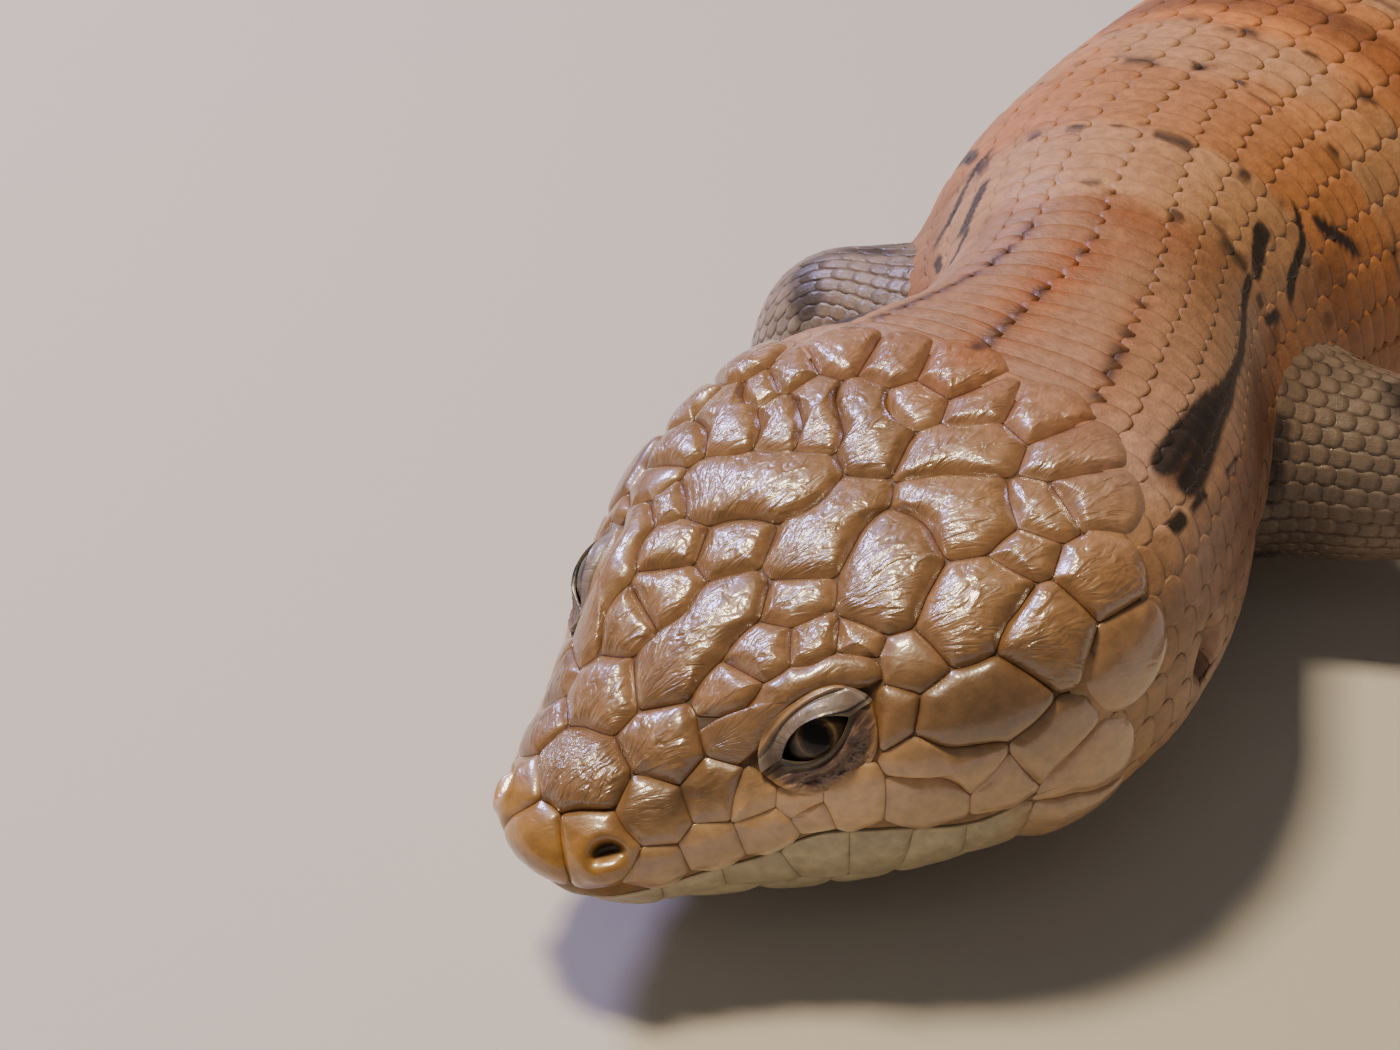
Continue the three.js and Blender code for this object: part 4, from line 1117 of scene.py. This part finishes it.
def shield_colours(plate, s, a, inward, salt):
    """Markings in a shield's own shade, with its seams, the pale hems of lips and painted shade in the
    nostrils.
    """
    colour = salted(markings(s, a), np.full(s.shape, salt[0]), SHIELD_SALT)
    border = np.exp(-(inward / 0.12) ** 2)[..., None]
    colour = colour * (1 - border * SEAM_SHADE * share_of(SEAM_SHARE, plate.name))
    if plate.name.startswith("labial"):
        colour = mix(colour, PALE_LIP, 0.9 * step(0.8, 0.15, lip_height(s, a)) * step(21, 16, s))
    # Painted shade in the nostril's hollow.
    if "nasal" in plate.name:
        colour = mix(colour, NOSTRIL_SHADE, 0.9 * step(0.35, 0.95, -pits(form(s, a))))
    middle = salted(markings(plate.s, plate.a)[None], salt[:1], SHIELD_SALT)
    return np.concatenate([middle.reshape(1, 3), colour.reshape(-1, 3)])


def shield_rays(plate, part, salt):
    """Places on a shield for the rays in its relief, which spread from ahead of it."""
    x = plate.edge * part * np.cos(plate.turns)
    y = plate.edge * part * np.sin(plate.turns)
    focus = plate.size * 1.9
    spread = np.arctan2(y, x + focus) * focus
    stretch = RAY_RATE if plate.name == "frontonasal" else RAY_STRETCH
    rays = np.stack([spread * RAY_RATE, x * stretch, np.full(x.shape, 40 * salt[3])], -1)
    return np.concatenate([[[0, 0, 40 * salt[3]]], rays.reshape(-1, 3)])


def shield_roughness(plate):
    """How strongly a shield shows fine rays: the crown most, the wrinkled skin before the eye half."""
    if plate.name.startswith(WRINKLED):
        return 0.5
    return 0.12 if plate.plain else 1.0


def add_shield(coat, plate, rings):
    """Adds a shield's plate: its middle and the rings out to its edge."""
    turns = PLATE["turns"]
    s, a = plate.places(rings[1:])
    s = np.maximum(s, 0.02)
    salt = SALT.random(4)
    part = rings[1:, None] * np.ones(turns)
    inward = plate.edge * (1 - part)
    height, top = shield_heights(plate, part, inward, salt)
    middle = hide(np.array([plate.s]), plate.a, top)
    points = np.concatenate([middle.reshape(1, 3), hide(s, a, height).reshape(-1, 3)])
    faces = [fan(1 + np.arange(turns), 0), grid_faces(len(rings) - 1, turns, True)[:, ::-1] + 1]
    relief = shield_roughness(plate) * np.clip(inward / 1.0 - 0.15, 0, 1)
    relief = np.concatenate([[relief.max()], relief.ravel()])[:, None]
    tint = np.concatenate([shield_colours(plate, s, a, inward, salt), relief], -1)
    root = body_uv(np.array([plate.s]), np.array([plate.a]))[0]
    spot = np.stack([part * np.cos(plate.turns), part * np.sin(plate.turns)], -1).reshape(-1, 2)
    uv = root + PATCH / 2 * np.concatenate([[[0, 0]], spot])
    coat.add(points, faces, tint, shield_rays(plate, part, salt), uv)


def dress_head(coats):
    """Lays every shield, in the coats of the jaw and of the head's front and rear."""
    for index, (name, _, kind) in enumerate(SHIELD_TABLE):
        if kind == "room":
            continue
        plate = Plate(index)
        coat = "jaw" if kind == "jaw" else "rear" if plate.s > CROWN_END else "front"
        add_shield(coats[coat], plate, NASAL_RINGS if "nasal" in name else RINGS)


# Feet: how far along the palm its rings stand, and a toe's and a claw's joints with their heights
PALM_AT = (-0.25, 0.1, 0.5, 0.85, 1)
TOE_JOINTS = ((-0.35, 2.2), (0.3, 2.6), (0.7, 2.1), (1, 1.6))
CLAW_JOINTS = ((-0.3, 1.9), (0.4, 1.9), (1, 1.9 - CLAW["dip"]))


def palm_height(palm, t):
    """How high the middle of the palm stands, at a part of the way from wrist to knuckles."""
    if t < 0.5:
        tall = palm["tall"] * (1 - 0.12 * t)
    else:
        tall = palm["tall"] + (palm["knuckle"] - palm["tall"]) * (t - 0.3) * 1.4
    return max(tall, palm["knuckle"]) / 2


def foot_tubes(name, leg):
    """The palm, toes and claws of a foot, as tubes."""
    palm, toes = (FORE_PALM, FORE_TOES) if leg["at"] == FORELEG_AT else (HIND_PALM, HIND_TOES)
    _, back, left, _ = spine_at(leg["at"])
    wrist = TUBES[name].centre[-1]

    def way(turn):
        angle = (leg["toe"] + turn) * DEG
        v = left * leg["side"] * np.sin(angle) - back * np.cos(angle)
        return np.array([v[0], v[1], 0])

    def lay(origin, direction, far, height):
        p = origin + direction * far
        return (p[0], p[1], height)

    soles = [lay(wrist, way(0), t * palm["long"], palm_height(palm, t)) for t in PALM_AT]
    made = dict(palm=Tube(soles, [3.2, 4.2, 4.8, palm["wide"], palm["wide"] - 1], 0.78), toes=[], claws=[])
    for turn, long in toes:
        direction = way(turn)
        knuckle = wrist + way(0) * palm["long"] * 0.72 + direction * palm["wide"] * 0.55
        joints = [lay(knuckle, direction, t * long, h) for t, h in TOE_JOINTS]
        made["toes"].append(Tube(joints, [TOE_THICK, TOE_THICK, TOE_THICK * 0.9, TOE_THICK * 0.62]))
        claw = [lay(knuckle, direction, long + t * CLAW["long"], h) for t, h in CLAW_JOINTS]
        made["claws"].append(Tube(claw, [CLAW["thick"], CLAW["thick"] * 0.7, 0.12]))
    return made


# A leg's scales: pitch, columns and lift
LEG_SCALES = dict(fore=(1.65, 34, 0.09), hind=(2.1, 32, 0.18))


def leg_swell(tube):
    """How far a leg swells towards the trunk, by distance along it and turn round it."""
    return lambda d, turn: blend(body_away(tube(d, turn)))


def add_claw(coat, claw, name, start):
    """Adds a claw, open at its root, in horn that darkens to its tip."""
    d, turn = round_grid(claw.long, CLAW["rows"], CLAW["sides"])
    points = claw(d, turn)
    colour = mix(HORN, HORN_TIP, d / claw.long)
    uv = leg_uv(name, start + 0.02 * d / claw.long, turn)
    coat.add(with_ends(points, points[-1].mean(0)[None]), tube_faces(CLAW["rows"], CLAW["sides"], False),
             with_ends(colour, colour[-1, :1]), np.zeros((d.size + 1, 3)), with_ends(uv, uv[-1, :1]))


def make_limbs(skin, scales, horn):
    """Adds the skin, scales and claws of all legs and feet."""
    for name, leg in LEGS.items():
        tube = TUBES[name]
        swell = leg_swell(tube)
        add_tube(skin, tube, name, (0, 0.6), 90, 56, lambda d, turn, f=swell: f(d, turn) - 0.05)
        pitch, columns, lift = LEG_SCALES["fore" if leg["at"] == FORELEG_AT else "hind"]
        dress_tube(scales, tube, name, pitch, columns, (0, 0.6), (2.0, tube.long + 1), lift, (5, 4), swell,
                   body_away)
        foot = foot_tubes(name, leg)
        palm = foot["palm"]
        add_tube(skin, palm, name, (0.6, 0.78), 30, 40)
        dress_tube(scales, palm, name, 2.2, 14, (0.6, 0.78), (1.0, palm.long + 0.4), 0.24)
        for i, (toe, claw) in enumerate(zip(foot["toes"], foot["claws"])):
            span = (0.78 + 0.04 * i, 0.82 + 0.04 * i)
            add_tube(skin, toe, name, span, 24, 20)
            dress_tube(scales, toe, name, 1.7, 6, span, (1.0, toe.long + 0.3), 0.22)
            add_claw(horn, claw, name, span[0])


# Eyeballs and lids
GAZE = (-0.05, 0.02)
PUPIL, RING, IRIS = 1.05, 1.5, 2.7
BALL_GRID = (72, 96)
LID_THICK = 0.42
LID_GRID = (241, 64)
# The opening's half length, its shift to the rear and its turn; each lid's way, how far it opens, how broad
# the band along its free edge is and how far its soft skin runs; and how far that runs to front and rear
SLIT = dict(half=3.1, shift=-0.45, turn=-4)
LIDS = dict(upper=dict(way=1, open=1.4, band=1.0, reach=3.2),
            lower=dict(way=-1, open=1.4, band=0.42, reach=4.3))
SURROUND = dict(front=5.6, rear=4.6)
# Heights of a lid's relief: small scales, rim, crease, the fold over or under it, wrinkles and grains; then
# how far the outer hem sinks into the face and how far the free edge turns in
LID_RELIEF = dict(scales=0.05, rim=0.10, crease=0.16, upper_fold=0.16, lower_fold=0.14, wrinkles=0.34,
                  grains=0.10, hem=1.0, edge=0.35)
CORNEA = dict(high=0.035, half=0.55)
IRIS_DARK, IRIS_BROWN, IRIS_RING = paint(34, 24, 16), paint(62, 46, 30), paint(112, 94, 66)
IRIS_RIM, PUPIL_BLACK = paint(12, 8, 6), paint(3, 3, 4)
UPPER_BAND, UPPER_PALE, UPPER_SKIN = paint(112, 100, 92), paint(132, 116, 108), paint(150, 120, 92)
# The lower lid's last colour on the next line is painted shade, deepest in the troughs of its wrinkles.
LOWER_BAND, LOWER_SKIN, LOWER_FOLD_SHADE = paint(74, 62, 48), paint(108, 84, 72), paint(58, 42, 36)
# Painted shade in the lids' creases; on the line after, painted shade at the eye's corners and the dark free
# edge.
UPPER_CREASE_SHADE, LOWER_CREASE_SHADE = paint(60, 44, 34), paint(36, 24, 18)
LID_CORNER_SHADE, LID_EDGE = paint(46, 32, 24), paint(26, 18, 14)


def eye_colours(far, turn):
    """Pupil, pale ring and dark iris, by the distance from the pupil's middle."""
    grain = noise(turn * 9, far * 3, 1)
    iris = mix(IRIS_DARK, IRIS_BROWN, 0.7 * grain * step(IRIS, RING, far))
    iris = mix(iris, IRIS_RING, 0.75 * bump(far, RING, 0.12))
    iris = mix(iris, IRIS_RIM, step(2.0, 2.9, far))
    return mix(iris, PUPIL_BLACK, step(PUPIL + 0.12, PUPIL - 0.05, far + 0.12 * (grain - 0.5)))


def make_eye(side, material):
    """Makes an eyeball that looks along the gaze, as a piece of its own."""
    eye = EYES[side]
    axis = eye["z"] + eye["x"] * GAZE[0] + eye["y"] * GAZE[1]
    axis /= np.linalg.norm(axis)
    u = np.cross(axis, eye["y"])
    u /= np.linalg.norm(u)
    v = np.cross(axis, u)
    rings, sides = BALL_GRID
    p, t = np.meshgrid(np.pi * np.linspace(0.002, 1, rings) ** 1.35, 2 * np.pi * np.arange(sides) / sides,
                       indexing="ij")
    bulge = 1 + CORNEA["high"] * np.exp(-(p / CORNEA["half"]) ** 4)
    aside = u * np.cos(t)[..., None] + v * np.sin(t)[..., None]
    ball = aside * np.sin(p)[..., None] + axis * np.cos(p)[..., None]
    points = eye["centre"] + EYE["ball"] * ball * bulge[..., None]
    coat = Coat()
    coat.add(points, [grid_faces(rings, sides, True)], eye_colours(p * EYE["ball"], t),
             np.stack([p, t, 0 * p], -1), np.stack([p / np.pi, t / (2 * np.pi)], -1))
    piece = coat.make(f"eyeball_{side}", material, "eye")
    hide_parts(f"eye_{side}")


def face_places(eye, x, y):
    """Places on the face, as s and angle, under places in an eye's frame."""
    d, s0, a0 = 0.4, EYE["at"], eye["middle"]
    along = (form(s0 + d, a0) - form(s0 - d, a0)) / (2 * d)
    across = (form(s0, a0 + 0.02) - form(s0, a0 - 0.02)) / 0.04
    system = np.array([[along @ eye[axis], across @ eye[axis]] for axis in "xy"])
    way = np.linalg.solve(system, np.stack([x.ravel(), y.ravel()]))
    return s0 + way[0].reshape(x.shape), a0 + way[1].reshape(x.shape)


def lid_places(lid, arch, qq, vv):
    """Places across a lid in the eye's frame, and how far each is over or under the free edge."""
    margin = lid["way"] * lid["open"] * arch**0.9
    outer = lid["way"] * lid["reach"] * np.clip(1 - np.abs(qq) ** 3, 0, 1) ** 0.7
    outer_x = np.where(qq < 0, -SURROUND["front"], SURROUND["rear"]) * np.abs(qq)
    x0 = SLIT["shift"] + SLIT["half"] * qq
    x = x0 + (outer_x - x0) * vv
    y = margin + (outer - margin) * vv
    turn = SLIT["turn"] * DEG
    x, y = x * np.cos(turn) - y * np.sin(turn), x * np.sin(turn) + y * np.cos(turn)
    return x, y, np.abs(y - margin)


class Lid:
    """A lid from its free edge over the eyeball out to the face, with small square scales and wrinkles."""

    def __init__(self, side, kind):
        self.eye, self.shape, self.upper = EYES[side], LIDS[kind], kind == "upper"
        columns, rows = LID_GRID
        self.q, self.v = np.meshgrid(np.linspace(-1, 1, columns), np.linspace(0, 1, rows), indexing="ij")
        arch = np.clip(1 - np.abs(self.q) ** 2.0, 0, 1)
        self.wide_open = arch**0.5
        self.x, self.y, self.far = lid_places(self.shape, arch, self.q, self.v)
        self.s, self.a = face_places(self.eye, self.x, self.y)
        self.band = self.shape["band"]
        self.find_marks(self.q, self.far, self.band)

    def find_marks(self, q, far, band):
        """Small scales and where they show, the crease, wrinkles, grains and the skin outside the band."""
        self.squares = np.abs(np.mod(q * 5.5 + 0.35 * np.sin(q * 9), 1) - 0.5) * 2
        marked = step(0.15, -0.1, q) if self.upper else 0.5
        self.marked = marked * step(0.08, 0.14, far) * step(band, band - 0.12, far)
        self.crease = bump(far, band + 0.06, 0.09) * self.wide_open
        self.wrinkle = noise(q * 5 + 3, far * 2.6 + 0.8 * noise(q * 4, far * 2, 1), 2) - 0.5
        self.grains = noise(q * 26, far * 7 + 5, 3) - 0.5
        self.outside = step(band + 0.1, band + 0.5, far)

    def smooth_height(self):
        """How far out the lid stands before its relief: on the eyeball, then on the face."""
        shell = EYE["ball"] + LID_THICK
        away = np.minimum(np.hypot(self.x, self.y), shell * 0.97)
        dome = np.sqrt(np.clip(shell**2 - away**2, 0, None))
        face = (form(self.s, self.a) - self.eye["centre"]) @ self.eye["z"]
        both = np.logaddexp(dome * 4, (face - 0.1) * 4) / 4
        on_face = step(0.35, 0.9, self.v)
        return both * (1 - on_face) + (face + (0.3 if self.upper else 0.05)) * on_face

    def height(self):
        """How far out the lid stands, with its rim, small scales, crease and folds."""
        far, band, high = self.far, self.band, LID_RELIEF
        z = self.smooth_height()
        scales = high["scales"] * self.marked * (1 - self.squares**6)
        z += (scales + high["rim"] * bump(far, 0, 0.1)) * self.wide_open
        z -= high["crease"] * self.crease
        if self.upper:
            z += high["upper_fold"] * bump(far, band + 0.35, 0.14) * self.wide_open
        else:
            folds = high["wrinkles"] * self.wrinkle + high["grains"] * self.grains
            z += folds * self.outside * step(1.0, 0.8, self.v)
            z += high["lower_fold"] * bump(far, band + 0.5, 0.25) * self.wide_open
        z -= high["hem"] * step(0.93, 1.0, self.v)
        return np.where(self.v <= 0, z - high["edge"], z)

    def colours(self):
        """Colours of the band, the soft skin outside it and the face at the outer hem, with painted shade in
        the crease, in the troughs of the wrinkles and at the corners.
        """
        far, band, face = self.far, self.band, markings(self.s, self.a)
        if self.upper:
            colour = mix(UPPER_BAND, UPPER_PALE, np.clip(0.5 + self.wrinkle * 2, 0, 1))
            colour = mix(colour, UPPER_SKIN, step(band + 0.05, band + 0.3, far))
            colour = mix(colour, face, step(band + 0.5, band + 0.8, far))
            # Painted shade in the crease.
            colour = mix(colour, UPPER_CREASE_SHADE, 0.5 * self.crease)
        else:
            colour = mix(LOWER_BAND, LOWER_SKIN, step(band, band + 0.25, far))
            # Painted shade: darker skin, deepest in the troughs of the wrinkles.
            folds = np.clip(0.35 - 2.2 * self.wrinkle - 0.8 * self.grains, 0, 0.7)
            colour = mix(colour, LOWER_FOLD_SHADE, folds * self.outside)
            colour = mix(colour, face * 0.9, step(0.62, 0.95, self.v))
            # Painted shade in the crease.
            colour = mix(colour, LOWER_CREASE_SHADE, 0.6 * self.crease)
        # Painted shade at the eye's corners.
        corners = np.exp(-((np.abs(self.q) - 1) / 0.16) ** 2) * step(0.9, 0.2, self.v)
        colour = mix(colour, LID_CORNER_SHADE, 0.7 * corners)
        colour = colour * (1 - 0.22 * self.marked * self.squares**8)[..., None]
        return mix(colour, LID_EDGE, bump(far, 0, 0.07))

    def add_to(self, coat):
        places = zip("xyz", (self.x, self.y, self.height()))
        points = self.eye["centre"] + sum(self.eye[axis] * value[..., None] for axis, value in places)
        faces = grid_faces(*LID_GRID)
        if self.eye["mirror"] * self.shape["way"] < 0:
            faces = faces[:, ::-1]
        detail = np.stack([self.q * 4, self.v * 3, np.full(self.x.shape, 3.0 if self.upper else 9.0)], -1)
        coat.add(points, [faces], self.colours(), detail, body_uv(self.s, self.a))


# Materials
def new_node(tree, kind, values=(), feeds=(), **settings):
    """A shader node with its settings, and inputs that hold values or are fed by other nodes."""
    node = tree.nodes.new("ShaderNode" + kind)
    for name, value in settings.items():
        setattr(node, name, value)
    for name, value in values:
        node.inputs[name].default_value = value
    for name, source in feeds:
        tree.links.new(source, node.inputs[name])
    return node


def new_material(name):
    """A material, its node tree and its shader."""
    material = bpy.data.materials.new(name)
    material.use_nodes = True
    return material, material.node_tree, material.node_tree.nodes["Principled BSDF"]


def object_noise(tree, scale, detail=2):
    """Noise laid through the piece's own space."""
    place = new_node(tree, "TexCoord")
    settings = (("Scale", scale), ("Detail", detail))
    return new_node(tree, "TexNoise", settings, [("Vector", place.outputs["Object"])]).outputs["Fac"]


def tint_from_piece(tree, shader, grain, shades):
    """The piece's own colours, shaded by a grain; gives the strength of relief that they carry."""
    ranges = zip(("From Min", "From Max", "To Min", "To Max"), shades)
    shade = new_node(tree, "MapRange", ranges, [("Value", grain)])
    tint = new_node(tree, "Attribute", attribute_name="tint")
    feeds = [(0, tint.outputs["Color"]), ("Scale", shade.outputs["Result"])]
    tinted = new_node(tree, "VectorMath", feeds=feeds, operation="SCALE")
    tree.links.new(tinted.outputs["Vector"], shader.inputs["Base Color"])
    return tint.outputs["Alpha"]


def hide_material(name, roughness, coat, stripe, grain, depth, gloss=0.5):
    """A glossy scaly finish: its colour is the markings with fine clouds, its relief fine rays and grain."""
    material, tree, shader = new_material(name)
    cloud = object_noise(tree, 900, 3)
    strength = tint_from_piece(tree, shader, cloud, (0.3, 0.7, 0.8, 1.16))
    detail = new_node(tree, "Attribute", attribute_name="detail")
    rays = new_node(tree, "TexNoise", (("Scale", 2.4), ("Detail", 2), ("Distortion", 1.0)),
                    [("Vector", detail.outputs["Vector"])])
    relief = new_node(tree, "Math", feeds=[(0, rays.outputs["Fac"]), (1, strength)], operation="MULTIPLY")
    first = new_node(tree, "Bump", (("Strength", stripe), ("Distance", depth * MM)),
                     [("Height", relief.outputs["Value"])])
    second = new_node(tree, "Bump", (("Strength", grain), ("Distance", 0.12 * MM)),
                      [("Height", object_noise(tree, 2600)), ("Normal", first.outputs["Normal"])])
    worn = new_node(tree, "MapRange", (("To Min", roughness - 0.07), ("To Max", roughness + 0.1)),
                    [("Value", cloud)])
    tree.links.new(second.outputs["Normal"], shader.inputs["Normal"])
    tree.links.new(second.outputs["Normal"], shader.inputs["Coat Normal"])
    tree.links.new(worn.outputs["Result"], shader.inputs["Roughness"])
    shader.inputs["Specular IOR Level"].default_value = gloss
    shader.inputs["Coat Weight"].default_value = coat
    shader.inputs["Coat Roughness"].default_value = 0.1
    return material


def eye_material():
    """A wet, dark eye with a fine grain in its iris."""
    material, tree, shader = new_material("eye")
    tint_from_piece(tree, shader, object_noise(tree, 3000), (0.0, 1.0, 0.7, 1.3))
    shader.inputs["Roughness"].default_value = 0.3
    shader.inputs["Specular IOR Level"].default_value = 0.2
    shader.inputs["Coat Weight"].default_value = 0.4
    shader.inputs["Coat Roughness"].default_value = 0.02
    return material


# Finishes: roughness, weight of the gloss coat, strength of rays and of grain, depth of rays and shine
FINISHES = {
    "skin": (0.68, 0.0, 0.1, 0.3, 0.1),
    "shields": (0.36, 0.9, 0.9, 0.2, 0.36, 0.8),
    "jaw_scales": (0.4, 0.4, 0.35, 0.2, 0.2, 0.6),
    "scales": (0.5, 0.12, 0.3, 0.3, 0.2),
    "limb_scales": (0.46, 0.2, 0.3, 0.25, 0.2),
    "lids": (0.4, 0.3, 0.15, 0.25, 0.12),
    "horn": (0.35, 0.3, 0.1, 0.1, 0.1),
}
finishes = {name: hide_material(name, *values) for name, values in FINISHES.items()}
eye_finish = eye_material()

FLESH = ["head", "lower_jaw", "neck", "torso_front", "torso_rear", "tail_base", "tail_middle", "tail_tip",
         *LEGS, *(name.replace("leg", "foot") for name in LEGS)]
# Coats of scales: where each starts and ends along the body, and how fine its scales are
BODY_COATS = {
    "neck_scales": (0, 96, (13, 8)), "shoulder_scales": (96, 200, (8, 7)), "trunk_scales": (200, 330, (7, 6)),
    "tail_scales": (330, TAIL_TIP, (7, 6)),
}
# Coats of shields: the piece's name, its finish and its slot
HEAD_COATS = {
    "front": ("shields_front", "shields", "head_scales"), "rear": ("shields_rear", "shields", "head_scales"),
    "jaw": ("shields_jaw", "jaw_scales", "jaw_scales"),
}
skin_coat, limb_coat, horn_coat, lid_coat = (Coat() for _ in range(4))
make_skin(skin_coat)
make_limbs(skin_coat, limb_coat, horn_coat)
skin = skin_coat.make("skin", finishes["skin"], "body_scales")
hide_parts(*FLESH)
limb_coat.make("limb_scales", finishes["limb_scales"], "limb_scales")
horn_coat.make("claws", finishes["horn"], "limb_scales")
body_coats = {name: (Coat(), *span) for name, span in BODY_COATS.items()}
dress_body(body_coats.values())
for part_name, (part_coat, *_) in body_coats.items():
    part_coat.make(part_name, finishes["scales"], "body_scales")
head_coats = {name: Coat() for name in HEAD_COATS}
dress_head(head_coats)
for name, (part_name, finish, slot) in HEAD_COATS.items():
    head_coats[name].make(part_name, finishes[finish], slot)
for side_name in EYES:
    make_eye(side_name, eye_finish)
    for lid_name in LIDS:
        Lid(side_name, lid_name).add_to(lid_coat)
lid_coat.make("lids", finishes["lids"], "head_scales")

# Floor, lights and camera; places of lamps are metres
LAMP_AIM = (-0.02, -0.14, 0.02)
LAMPS = [
    ("cool", (-0.68, 0.10, 0.57), 0.17, 7.5, (0.58, 0.54, 1.0)),
    ("warm", (-0.28, -0.21, 0.84), 0.16, 10.5, (1.0, 0.83, 0.56)),
    ("fill", (0.2, -0.9, 0.8), 0.7, 1.0, (1.0, 0.93, 0.84)),
]
CAMERA = dict(place=(44.8, -331.9, 146.4), azimuth=26.0, elevation=33.4, tilt=0.016, focal=2600, wide=1400)


def lay_floor():
    """A plain floor, which is not attached to the part."""
    bpy.ops.mesh.primitive_plane_add(size=8, location=(0, 0, 0))
    floor = bpy.context.object
    floor.name = "floor"
    finish, _, shader = new_material("floor")
    shader.inputs["Base Color"].default_value = (0.5, 0.47, 0.43, 1)
    shader.inputs["Roughness"].default_value = 0.8
    floor.data.materials.append(finish)


def light():
    """A dim room and three lamps; the fill leaves no glints."""
    world = bpy.data.worlds.new("room")
    bpy.context.scene.world = world
    world.use_nodes = True
    world.node_tree.nodes["Background"].inputs["Color"].default_value = (1.0, 0.96, 0.92, 1)
    world.node_tree.nodes["Background"].inputs["Strength"].default_value = 0.12
    for name, place, size, power, colour in LAMPS:
        lamp = bpy.data.lights.new(name, "AREA")
        lamp.size, lamp.energy, lamp.color = size, power, colour
        item = bpy.data.objects.new(name, lamp)
        item.location = place
        item.rotation_euler = (Vector(LAMP_AIM) - Vector(place)).to_track_quat("-Z", "Y").to_euler()
        item.visible_glossy = name != "fill"
        bpy.context.scene.collection.objects.link(item)


def make_camera():
    """The photo's camera."""
    data = bpy.data.cameras.new("camera")
    data.sensor_width = 36
    data.lens = CAMERA["focal"] / CAMERA["wide"] * data.sensor_width
    data.clip_start, data.clip_end = 0.01, 20
    camera = bpy.data.objects.new("camera", data)
    az, el = CAMERA["azimuth"] * DEG, CAMERA["elevation"] * DEG
    back = Vector((np.sin(az) * np.cos(el), -np.cos(az) * np.cos(el), np.sin(el)))
    level = Vector((np.cos(az), np.sin(az), 0))
    roll = float(np.arcsin(CAMERA["tilt"] / np.cos(el)))
    right = level * np.cos(roll) + back.cross(level) * np.sin(roll)
    turn = Matrix((right, back.cross(right), back)).transposed().to_4x4()
    camera.matrix_world = Matrix.Translation(Vector(CAMERA["place"]) * MM) @ turn
    bpy.context.scene.collection.objects.link(camera)
    bpy.context.scene.camera = camera


lay_floor()
light()
make_camera()
